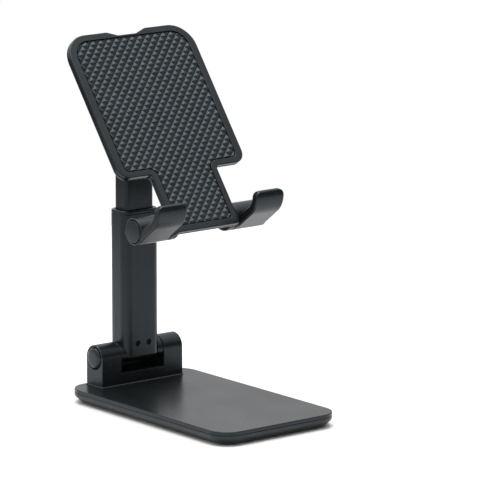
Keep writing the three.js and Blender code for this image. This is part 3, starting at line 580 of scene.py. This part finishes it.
TOWER_RADIUS = 6.36
SLOT_HALF = 12.85
SLOT_FLOOR = 12.9
STOP_DEPTH = 1.6
STOP_TOP = 19.2
BORE_RADIUS = 2.6
AT_LOWER_AXIS = Matrix.Translation(LOWER_AXIS)


def hinge_block():
    """The fixed yoke of the lower hinge: two round-topped towers on one foot."""
    low, high = node_box("hinge_block")
    half = high.x
    foot = low.z - LOWER_AXIS.z
    slot_floor, stop_top = SLOT_FLOOR - LOWER_AXIS.z, STOP_TOP - LOWER_AXIS.z
    screw_top = 12.5 - LOWER_AXIS.z
    recess_radius, recess_depth = 5.6, 1.6
    seat_radius, seat_depth = 4.2, 5.1
    welt_spread = 0.9
    tower = [
        (-TOWER_RADIUS, foot, 0.35),
        (TOWER_RADIUS, foot, 0.35),
        (TOWER_RADIUS, TOWER_RADIUS, TOWER_RADIUS - 0.01),
        (-TOWER_RADIUS, TOWER_RADIUS, TOWER_RADIUS - 0.01),
    ]
    yoke = shape("hinge_block_skin", prism("x", tower, rounded_levels(-half, half, 0.6, 0.6)))
    cut(yoke, block((-SLOT_HALF, -20, slot_floor), (SLOT_HALF, TOWER_RADIUS - STOP_DEPTH, 20)))
    cut(yoke, block((-SLOT_HALF, 0, stop_top), (SLOT_HALF, 20, 20)))
    for _, sign in SIDES:
        cut(yoke, rod("x", recess_radius, sign * (half - recess_depth), sign * (half + 1)))
        cut(yoke, rod("x", seat_radius, sign * (half - seat_depth), sign * (half + 1)))
    cut(yoke, rod("x", BORE_RADIUS, -half - 1, half + 1, steps=SMALL_ROUND_STEPS))
    for place in block_screw_places():
        centre = (place.x, 0)
        cut(yoke, rod("z", BLOCK_SCREW_BORE, foot - 1, screw_top, steps=SMALL_ROUND_STEPS, centre=centre))
    soften(yoke, 0.35)
    welt = rectangle(2 * half + welt_spread, 2 * TOWER_RADIUS + welt_spread, welt_spread)
    join(yoke, prism("z", welt, [(0, foot), (0.04, foot + 0.1), (0.6, foot + 0.55)]))
    for place in block_screw_places():
        centre = (place.x, 0)
        cut(yoke, rod("z", BLOCK_SCREW_BORE, foot - 1, foot + 1, steps=SMALL_ROUND_STEPS, centre=centre))
    return release(yoke, AT_LOWER_AXIS, "base", ["hinge_block"], SHELL)


def button_profile(radius, inner, outer, rim=0.55, crown=0.25):
    """Rows of a pressed-in cap along X: a stem, a rolled rim and a slightly crowned face."""
    direction = 1 if outer > inner else -1
    face = outer - direction * crown
    rows = [(radius, inner)]
    for step in range(FILLET_STEPS + 1):
        angle = math.pi / 2 * step / FILLET_STEPS
        station = face - direction * rim * (1 - math.sin(angle))
        rows.append((radius - rim * (1 - math.cos(angle)), station))
    rings = 5
    for ring in range(1, rings):
        share = 1 - ring / rings
        rows.append(((radius - rim) * share, face + direction * crown * (1 - share * share)))
    return rows


def lower_caps():
    """The round caps in the outer faces of the towers."""
    for side, sign in SIDES:
        inner, outer = node_ends(f"lower_cap_{side}", sign)
        profile = button_profile(5.3, inner, outer, rim=2.0, crown=0.1)
        cap = shape(f"lower_cap_{side}_skin", turned("x", profile))
        release(cap, AT_LOWER_AXIS, "base", [f"lower_cap_{side}"], TRIM)


# ------------------------------------------------------------------------------------------------
# Column
# ------------------------------------------------------------------------------------------------

SLEEVE = (21.2, 13.8, 4.4)
TUBE = (16.5, 10.4, 2.3)
TUBE_WALL = 1.2
UPPER_BARREL_RADIUS = 6.8
SCREW_X = 3.3
SCREW_HOLE_RADIUS = 1.35


def grown(section, by):
    """A tube's section, grown or shrunk all round."""
    width, depth, radius = section
    return rectangle(width + 2 * by, depth + 2 * by, max(radius + by, 0.4))


def pipe(section, wall, bottom, top, outer_rim, inner_rim=0.2):
    """A straight tube with rounded ends, along Z."""
    outer, inner = grown(section, 0), grown(section, -wall)
    rings = []
    for inset, height in rounded_levels(bottom, top, outer_rim, outer_rim):
        rings.append([(*p, height) for p in outline(outer, inset)])
    for inset, height in reversed(rounded_levels(bottom, top, inner_rim, inner_rim)):
        rings.append([(*p, height) for p in outline(inner, -inset)])
    return skin(rings, looped=True)


def lower_knuckle():
    """The moving half of the lower hinge: a barrel that grows out of the sleeve's foot."""
    low, high = node_box("lower_knuckle")
    sleeve_foot = node_box("outer_tube")[0].z - LOWER_AXIS.z - FIT_GAP
    top = high.z - LOWER_AXIS.z
    barrel_radius, hub_radius, relief_z = 6.2, 4.4, -1.0
    washer_radius, washer_depth = 5.2, 0.45
    knuckle = shape("lower_knuckle_skin", rod("x", barrel_radius, low.x, high.x, rim=0.3))
    relief = shape("relief", block((-20, -20, -20), (20, 20, relief_z)))
    cut(relief, rod("x", hub_radius, -30, 30))
    cut(knuckle, taken(relief))
    for _, sign in SIDES:
        cut(knuckle, rod("x", washer_radius, sign * (high.x - washer_depth), sign * (high.x + 1)))
    room = shape("room", prism("z", grown(SLEEVE, FIT_GAP), [(0, sleeve_foot), (0, top + 1)]))
    cut(room, prism("z", grown(SLEEVE, -TUBE_WALL - FIT_GAP), [(0, sleeve_foot - 1), (0, top + 2)]))
    cut(knuckle, taken(room))
    join(knuckle, prism("z", grown(SLEEVE, -TUBE_WALL - FIT_GAP), rounded_levels(0, top, 0, 0.4)))
    cut(knuckle, rod("x", BORE_RADIUS, -20, 20, steps=SMALL_ROUND_STEPS))
    screw_z = node_box("column_screw_left")[0].z + 1.05 - LOWER_AXIS.z
    for _, sign in SIDES:
        centre = (sign * SCREW_X, screw_z)
        cut(knuckle, rod("y", SCREW_HOLE_RADIUS, -10, -1, steps=SMALL_ROUND_STEPS, centre=centre))
    return release(knuckle, AT_LOWER_AXIS, "lower_column", ["lower_knuckle"], COLUMN)


def outer_tube():
    """The sleeve: a rounded rectangular tube with two screw holes low on its front."""
    low, high = node_box("outer_tube")
    bottom, top = low.z - LOWER_AXIS.z, high.z - LOWER_AXIS.z
    tube = shape("outer_tube_skin", pipe(SLEEVE, TUBE_WALL, bottom, top, 0.3))
    screw_z = middle_z("column_screw_left") - LOWER_AXIS.z
    for _, sign in SIDES:
        centre = (sign * SCREW_X, screw_z)
        cut(tube, rod("y", SCREW_HOLE_RADIUS, -10, -4, steps=SMALL_ROUND_STEPS, centre=centre))
        face = -SLEEVE[1] / 2
        mouth = [
            (SCREW_HOLE_RADIUS + 0.4, face - 0.3),
            (SCREW_HOLE_RADIUS + 0.1, face + 0.08),
            (1.3, face + 0.4),
        ]
        cut(tube, turned("y", mouth, SMALL_ROUND_STEPS, centre))
    cut(tube, rod("x", BORE_RADIUS + 0.2, -20, 20, steps=SMALL_ROUND_STEPS))
    return release(tube, AT_LOWER_AXIS, "lower_column", ["outer_tube"], COLUMN)


def tube_collar():
    """The guide ring that closes the sleeve round the inner tube."""
    low, high = node_box("tube_collar")
    bottom = node_box("outer_tube")[1].z + 0.15 - LOWER_AXIS.z
    top = high.z - LOWER_AXIS.z
    rings = []
    for inset, height in rounded_levels(bottom, top, 0.2, 0.7):
        rings.append([(*p, height) for p in outline(grown(SLEEVE, 0), inset)])
    for inset, height in reversed(rounded_levels(bottom, top, 0.1, 0.4)):
        rings.append([(*p, height) for p in outline(grown(TUBE, FIT_GAP), -inset)])
    collar = shape("tube_collar_skin", skin(rings, looped=True))
    inner, outer = TUBE[0] / 2 + FIT_GAP, SLEEVE[0] / 2 - TUBE_WALL - 0.25
    for _, sign in SIDES:
        x = sorted((sign * inner, sign * outer))
        join(collar, block((x[0], -2.5, low.z - LOWER_AXIS.z), (x[1], 2.5, top - 0.6)))
    return release(collar, AT_LOWER_AXIS, "lower_column", ["tube_collar"], TRIM)


AT_COLUMN = Matrix.Translation((0, LOWER_AXIS.y, 0))


def inner_tube():
    """The sliding tube, with two screw holes high on its back."""
    low, high = node_box("inner_tube")
    tube = shape("inner_tube_skin", pipe(TUBE, TUBE_WALL, low.z, high.z, 0.25))
    screw_z = middle_z("head_screw_left")
    for _, sign in SIDES:
        centre = (sign * SCREW_X, screw_z)
        cut(tube, rod("y", SCREW_HOLE_RADIUS, 3, 10, steps=SMALL_ROUND_STEPS, centre=centre))
    return release(tube, AT_COLUMN, "upper_column", ["inner_tube"], COLUMN)


def head_knuckle():
    """The barrel at the top of the column, on a neck of the tube's own section."""
    low, high = node_box("head_knuckle")
    tube_top = node_box("inner_tube")[1].z
    neck_foot = tube_top + FIT_GAP
    axis_z = UPPER_AXIS.z
    head = shape("head_knuckle_skin", rod("x", UPPER_BARREL_RADIUS, low.x, high.x, rim=0.5))
    head.data.transform(Matrix.Translation((0, 0, axis_z)))
    join(head, prism("z", grown(TUBE, 0), rounded_levels(neck_foot, axis_z, 0.25, 0)))
    join(head, prism("z", grown(TUBE, -TUBE_WALL - FIT_GAP), [(0, low.z), (0, neck_foot + 1)]))
    cut(head, moved(rod("x", BORE_RADIUS, -20, 20, steps=SMALL_ROUND_STEPS), z=axis_z))
    screw_z = middle_z("head_screw_left")
    for _, sign in SIDES:
        centre = (sign * SCREW_X, screw_z)
        cut(head, rod("y", SCREW_HOLE_RADIUS, 0.5, 10, steps=SMALL_ROUND_STEPS, centre=centre))
    return release(head, AT_COLUMN, "upper_column", ["head_knuckle"], COLUMN)


# ------------------------------------------------------------------------------------------------
# Cradle
# ------------------------------------------------------------------------------------------------

AT_CRADLE = Matrix.Translation(UPPER_AXIS) @ Matrix.Rotation(CRADLE_LEAN, 4, "X")
FRONT_Y = -11.9
SHELL_FRONT_Y = -9.6
BACK_Y = -7.9
PLATE_TOP = 26.2
WING_BOTTOM = -49.8
NECK_BOTTOM = -80.6
PLATE_HALF = 37.35
NECK_HALF = 19.05
HOOK_Y = -5.4
HOOK_Z = -74.2
LUG_INNER = 15.2
LUG_OUTER = 20
HOOK_RADIUS = 6.4
HOOK_BORE_RADIUS = 2.2
PAD_CLEARANCE = 0.45
RIM_NECK = 3.75
RIM_SIDE = 4.65
RIM_TOP = 3.8
RIM_WING = 3.5


def both_sides(right):
    """A symmetrical outline from the corners of its right half, which run upwards."""
    return right + [(-x, z, radius) for x, z, radius in reversed(right)]


def cradle_corners():
    """The T-shaped plate, with a thumb notch in its top edge."""
    return both_sides([
        (NECK_HALF, NECK_BOTTOM, 1.5),
        (NECK_HALF, WING_BOTTOM, 2),
        (PLATE_HALF, WING_BOTTOM, 6),
        (PLATE_HALF, PLATE_TOP, 12.5),
        (11.2, PLATE_TOP, 3),
        (5.3, PLATE_TOP - 2.2, 3),
    ])


def pad_corners(grow=0.0):
    """The grip pad's outline, or the frame's window when it is grown."""
    neck, side = NECK_HALF - RIM_NECK + grow, PLATE_HALF - RIM_SIDE + grow
    wing = WING_BOTTOM + RIM_WING - grow
    return both_sides([
        (neck, NECK_BOTTOM + RIM_NECK - grow, 1.6),
        (neck, wing, 4.5),
        (side, wing, 3),
        (side, PLATE_TOP - RIM_TOP + grow, 8.5),
    ])


def upper_lug_mound(sign):
    """The mound that an upper lug grows out of, hollowed like a cove where it meets the plate."""
    top_y, half_depth, cover, corner, steps = -2.6, 6.2, 21.5, 2, 8
    cove = top_y - BACK_Y
    low_x, high_x = sorted((sign * LUG_INNER, sign * cover))
    corners = [
        (low_x, -half_depth, corner),
        (high_x, -half_depth, corner),
        (high_x, half_depth, corner),
        (low_x, half_depth, corner),
    ]
    levels = [(-cove, BACK_Y - 0.5)]
    for step in range(steps + 1):
        height = cove * step / steps
        spread = cove - math.sqrt(cove ** 2 - (cove - height) ** 2)
        levels.append((-spread, BACK_Y + height))
    mound = shape("lug_mound", prism("y", corners, levels))
    near, far = sorted((sign * LUG_INNER, sign * 60))
    keep_within(mound, block((near, -60, -60), (far, 60, 60)))
    return taken(mound)


def dome_profile(radius, foot, tip, neck=0.0):
    """Rows of a dome along X, from a flat foot to its tip."""
    rows = [(radius, foot)]
    start = foot + neck
    rings = 12
    for ring in range(rings):
        angle = math.pi / 2 * ring / rings
        rows.append((radius * math.cos(angle), start + (tip - start) * math.sin(angle)))
    rows.append((0.12, tip))
    return rows if neck else rows[1:]


def cradle_shell():
    """The rear half of the cradle: a soft-edged plate with the lugs of both hinges."""
    plate = prism("y", cradle_corners(), rounded_levels(SHELL_FRONT_Y, BACK_Y, 0.15, 1.3))
    shell = shape("cradle_shell_skin", plate)
    channel_half, channel_start, channel_depth = 11.8, -9, 0.6
    channel = [
        (BACK_Y + 1, channel_start + 7, 0.1),
        (BACK_Y, channel_start, 0.1),
        (BACK_Y - channel_depth, NECK_BOTTOM - 1, 0.1),
        (BACK_Y + 1, NECK_BOTTOM - 1, 0.1),
    ][::-1]
    cut(shell, prism("x", channel, [(0, -channel_half), (0, channel_half)]))
    for _, sign in SIDES:
        inner, outer = sorted((sign * LUG_INNER, sign * LUG_OUTER))
        join(shell, rod("x", UPPER_BARREL_RADIUS, inner, outer, rim=0.3))
        join(shell, upper_lug_mound(sign))
    rear = (-60, SHELL_FRONT_Y, -120), (60, 30, 60)
    hook_centre = (HOOK_Y, HOOK_Z)
    for _, sign in SIDES:
        straight = sorted((sign * 15.6, sign * (NECK_HALF - 0.02)))
        lug = shape("lug", rod("x", HOOK_RADIUS, *straight, rim=0.25, centre=hook_centre))
        join(lug, turned("x", dome_profile(HOOK_RADIUS, sign * 15.9, sign * 12.4), centre=hook_centre))
        keep_within(lug, block(*rear))
        join(shell, taken(lug))
    bolt_room, bolt_seat = 4.2, 17.4
    for _, sign in SIDES:
        cut(shell, rod("x", bolt_room, sign * bolt_seat, sign * 30))
        bore = sorted((sign * 13.8, sign * 30))
        cut(shell, rod("x", HOOK_BORE_RADIUS, *bore, steps=SMALL_ROUND_STEPS, centre=hook_centre))
    cut(shell, rod("x", BORE_RADIUS, -30, 30, steps=SMALL_ROUND_STEPS))
    return release(shell, AT_CRADLE, "cradle", ["cradle_shell"], SHELL)


def cradle_bezel():
    """The front frame: a soft-edged rim round a shallow tray for the pad."""
    rear_y = SHELL_FRONT_Y - FIT_GAP
    levels = rounded_levels(FRONT_Y, rear_y, 0.5, 0.2)
    rim = shape("cradle_bezel_skin", prism("y", cradle_corners(), levels))
    tray_y = rear_y - 0.7
    window = [
        (-0.45, FRONT_Y - 1),
        (-0.35, FRONT_Y),
        (-0.1, FRONT_Y + 0.12),
        (0, FRONT_Y + 0.35),
        (0, tray_y),
    ]
    cut(rim, prism("y", pad_corners(PAD_CLEARANCE), window))
    return release(rim, AT_CRADLE, "cradle", ["cradle_bezel"], SHELL)


def grip_pad():
    """The silicone pad: a field of four-sided pyramids in staggered rows, cut off at its edge."""
    pitch_x, pitch_z, height = 4.64, 4.6, 0.8
    rear_y = FRONT_Y + 1.2
    valley_y = FRONT_Y + 0.55
    peak_y = valley_y - height
    peak_share = 0.24
    half_x, half_z = pitch_x / 2, pitch_z / 2
    columns = int(PLATE_HALF / half_x) + 2
    top_row = int(PLATE_TOP / half_z) + 2
    bottom_row = int(NECK_BOTTOM / half_z) - 2
    around = ((1, 0), (0, 1), (-1, 0), (0, -1))
    solid = bmesh.new()
    corners = {}

    def corner(column, row):
        if (column, row) not in corners:
            corners[column, row] = solid.verts.new((column * half_x, valley_y, row * half_z))
        return corners[column, row]

    for column in range(-columns, columns + 1):
        for row in range(bottom_row, top_row + 1):
            if (column + row) % 2:
                continue
            x, z = column * half_x, row * half_z
            base = [corner(column + across, row + up) for across, up in around]
            peak = []
            for foot in base:
                peak_x, peak_z = x + (foot.co.x - x) * peak_share, z + (foot.co.z - z) * peak_share
                peak.append(solid.verts.new((peak_x, peak_y, peak_z)))
            for index in range(4):
                following = (index + 1) % 4
                solid.faces.new((base[index], base[following], peak[following], peak[index]))
            solid.faces.new(peak)
    edges = [edge for edge in solid.edges if edge.is_boundary]
    walls = bmesh.ops.extrude_edge_only(solid, edges=edges)["geom"]
    rim = [item for item in walls if isinstance(item, bmesh.types.BMVert)]
    for vertex in rim:
        vertex.co.y = 0
    bmesh.ops.holes_fill(solid, edges=[edge for edge in solid.edges if edge.is_boundary], sides=0)
    bmesh.ops.recalc_face_normals(solid, faces=solid.faces)
    pad = shape("grip_pad_skin", solid)
    keep_within(pad, prism("y", pad_corners(), [(0, peak_y - 1), (0, rear_y)]))
    soften(pad, 0.12, angle=25)
    return release(pad, AT_CRADLE, "cradle", ["grip_pad"], SILICONE)


def upper_domes():
    """The round end covers of the upper hinge."""
    for side, sign in SIDES:
        foot, tip = node_ends(f"upper_dome_{side}", sign)
        profile = dome_profile(UPPER_BARREL_RADIUS, foot, tip, sign * 0.4)
        dome = shape(f"upper_dome_{side}_skin", turned("x", profile))
        release(dome, AT_CRADLE, "cradle", [f"upper_dome_{side}"], SHELL)


# ------------------------------------------------------------------------------------------------
# Hooks
# ------------------------------------------------------------------------------------------------

AT_HOOKS = AT_CRADLE @ Matrix.Translation((0, HOOK_Y, HOOK_Z))
TONGUE_INNER = 20.6
TONGUE_OUTER = 37.4
TONGUE_FLAT = 13.6
BEND_RADIUS = 10.9
BEND = math.radians(58)
LIP_STRAIGHT = 2.2
PIN_HEAD_ROOM = 3.8


def tongue_station(travel):
    """Point and inward normal on the tongue's outer face, as (forward, up), after this travel."""
    bend_length = BEND_RADIUS * BEND
    centre = Vector((TONGUE_FLAT, BEND_RADIUS - HOOK_RADIUS))
    angle = min(max(travel - TONGUE_FLAT, 0) / BEND_RADIUS, BEND)
    inward = Vector((-math.sin(angle), math.cos(angle)))
    along = Vector((math.cos(angle), math.sin(angle)))
    if travel < TONGUE_FLAT:
        return Vector((travel, -HOOK_RADIUS)), inward
    beyond = max(travel - TONGUE_FLAT - bend_length, 0)
    return centre - inward * BEND_RADIUS + along * beyond, inward


def tongue(inner, outer):
    """A hook's tongue: a plate that thins along its length, bends up and ends in a soft lip."""
    length = TONGUE_FLAT + BEND_RADIUS * BEND + LIP_STRAIGHT
    corner, tip_round, edge_round = 3.4, 1.3, 0.8
    root_thick, lip_thick = 4.3, 3.6
    middle, half = (inner + outer) / 2, abs(outer - inner) / 2
    travels = [0.5 + (length - corner - 0.5) * k / 28 for k in range(28)]
    travels += [length - corner * (1 - math.sin(math.pi / 2 * k / 14)) for k in range(14)]
    travels.append(length - 0.004)
    rings = []
    for travel in travels:
        point, inward = tongue_station(travel)
        thick = root_thick + (lip_thick - root_thick) * min(max((travel - 8) / 14, 0), 1)
        into_corner = max(travel - (length - corner), 0)
        width = half - corner + math.sqrt(max(corner ** 2 - into_corner ** 2, 0))
        into_tip = max(travel - (length - tip_round), 0) / tip_round
        body = max(thick * math.sqrt(max(1 - into_tip ** 2, 0)), 0.08)
        start = (thick - body) / 2
        radius = min(edge_round, body / 2 * 0.98)
        section = rectangle(2 * width, body, radius)
        ring = []
        for across, through in outline(section):
            depth = point + inward * (start + body / 2 + through)
            ring.append((middle + across, -depth.x, depth.y))
        rings.append(ring)
    return skin(rings)


def hooks():
    """Both hooks, each a barrel with its tongue, and the disc in the barrel's end."""
    for side, sign in SIDES:
        inner, outer = node_ends(f"{side}_hook", sign)
        made = shape(f"{side}_hook_skin", rod("x", HOOK_RADIUS, inner, outer, rim=0.45))
        join(made, tongue(sign * TONGUE_INNER, sign * TONGUE_OUTER))
        cut(made, rod("x", HOOK_BORE_RADIUS, sign * 18, outer, steps=SMALL_ROUND_STEPS))
        cut(made, rod("x", PIN_HEAD_ROOM, sign * 31, outer + sign, steps=SMALL_ROUND_STEPS))
        seat = [
            (5.5, outer - sign * 1.2),
            (5.5, outer - sign * 0.2),
            (5.8, outer + sign * 0.1),
            (5.8, outer + sign),
        ]
        cut(made, turned("x", seat))
        release(made, AT_HOOKS, f"{side}_hook", [f"{side}_hook"], SHELL)
        profile = button_profile(5.2, *node_ends(f"{side}_hook_cap", sign), rim=0.35, crown=0.15)
        cap = shape(f"{side}_hook_cap_skin", turned("x", profile))
        release(cap, AT_HOOKS, f"{side}_hook", [f"{side}_hook_cap"], TRIM)


# ------------------------------------------------------------------------------------------------
# Metal parts, which keep their CAD shape
# ------------------------------------------------------------------------------------------------


def repaint(node, material):
    """Gives one CAD node a material, and leaves its mesh as it is."""
    mesh = frame["nodes"][node].data
    mesh.materials.clear()
    mesh.materials.append(material["material"])


def hardware():
    """Gives every CAD node the material of its slot."""
    finishes = (SHELL, COLUMN, TRIM, SILICONE, RUBBER, STEEL, BLACK_STEEL)
    by_slot = {finish["slot"]: finish for finish in finishes}
    for part in frame["record"]["subparts"]:
        repaint(part["node"], by_slot[part["material_slot"]])


# ------------------------------------------------------------------------------------------------
# Floor, light and camera
# ------------------------------------------------------------------------------------------------

CAMERA_PLACE = (-1.3177, -1.6748, 0.5226)
CAMERA_RIGHT = (0.7807, -0.6250, 0)
CAMERA_UP = (0.1261, 0.1575, 0.9794)
CAMERA_BACK = (-0.6120, -0.7646, 0.2017)


def camera():
    """A long lens from the front left, a little above the stand."""
    data = bpy.data.cameras.new("camera")
    data.sensor_width = 36
    data.lens = 347.6
    data.clip_end = 50
    made = bpy.data.objects.new("camera", data)
    rotation = Matrix((CAMERA_RIGHT, CAMERA_UP, CAMERA_BACK)).transposed().to_4x4()
    made.matrix_world = Matrix.Translation(CAMERA_PLACE) @ rotation
    bpy.context.scene.collection.objects.link(made)
    bpy.context.scene.camera = made


def floor():
    """A pale round table top."""
    table_radius = 0.45
    mesh = bmesh.new()
    bmesh.ops.create_circle(mesh, cap_ends=True, segments=96, radius=table_radius)
    made = shape("floor", mesh)
    nodes = Material("pale_floor")
    colour = nodes.mix(nodes.noise(60, detail=2), linear("f4f4f4"), linear("f8f8f8"))
    nodes.link(colour, nodes.shader.inputs["Base Color"])
    nodes.shader.inputs["Roughness"].default_value = 0.9
    nodes.shader.inputs["Specular IOR Level"].default_value = 0.1
    made.data.materials.append(nodes.material)


def softbox(name, place, target, width, height, watts):
    """A rectangular lamp at place, turned towards target."""
    data = bpy.data.lights.new(name, "AREA")
    data.shape = "RECTANGLE"
    data.size = width
    data.size_y = height
    data.energy = watts
    made = bpy.data.objects.new(name, data)
    made.location = place
    made.rotation_euler = (Vector(target) - Vector(place)).to_track_quat("-Z", "Y").to_euler()
    bpy.context.scene.collection.objects.link(made)


def studio():
    """A white tent with a darker opening low down at the front right, under one soft lamp."""
    tent_white, opening_grey, bounce_share = 0.92, 0.1, 0.85
    world = bpy.data.worlds.new("studio")
    bpy.context.scene.world = world
    world.use_nodes = True
    nodes = Tree(world.node_tree)
    nodes.tree.nodes.clear()
    direction = nodes.add("ShaderNodeTexCoord").outputs["Generated"]
    front_right = nodes.add("ShaderNodeVectorMath", operation="DOT_PRODUCT")
    front_right.inputs[1].default_value = (0.62, -0.78, 0)
    nodes.link(direction, front_right.inputs[0])
    parts = nodes.add("ShaderNodeSeparateXYZ")
    nodes.link(direction, parts.inputs[0])
    beside = nodes.ranged(front_right.outputs["Value"], 1, 0, (0.1, 0.6), "SMOOTHSTEP")
    above = nodes.ranged(parts.outputs["Z"], 0, 1, (0.38, 0.62), "SMOOTHSTEP")
    walls = nodes.math("MULTIPLY", beside, nodes.ranged(parts.outputs["Z"], 0, 1, (-0.12, 0.05)))
    tent = nodes.ranged(nodes.math("MAXIMUM", walls, above), opening_grey, tent_white, (0, 1))
    path = nodes.add("ShaderNodeLightPath")
    bounced = nodes.ranged(path.outputs["Is Diffuse Ray"], 1, bounce_share, (0, 1))
    lit = nodes.math("MULTIPLY", tent, bounced)
    strength = nodes.math("MAXIMUM", lit, path.outputs["Is Camera Ray"])
    background = nodes.add("ShaderNodeBackground")
    background.inputs["Color"].default_value = (1, 1, 1, 1)
    nodes.link(strength, background.inputs["Strength"])
    output = nodes.add("ShaderNodeOutputWorld")
    nodes.link(background.outputs["Background"], output.inputs["Surface"])

    softbox("lamp", (0.0, 0.1, 0.9), (0, 0.05, 0), 1.0, 1.0, 11)
    bpy.context.scene.view_settings.view_transform = "Standard"


# ------------------------------------------------------------------------------------------------
# Scene
# ------------------------------------------------------------------------------------------------

camera()
hardware()
base_cover()
base_tray()
base_pad()
hinge_block()
lower_caps()
lower_knuckle()
outer_tube()
tube_collar()
inner_tube()
head_knuckle()
cradle_shell()
cradle_bezel()
grip_pad()
upper_domes()
hooks()
floor()
studio()
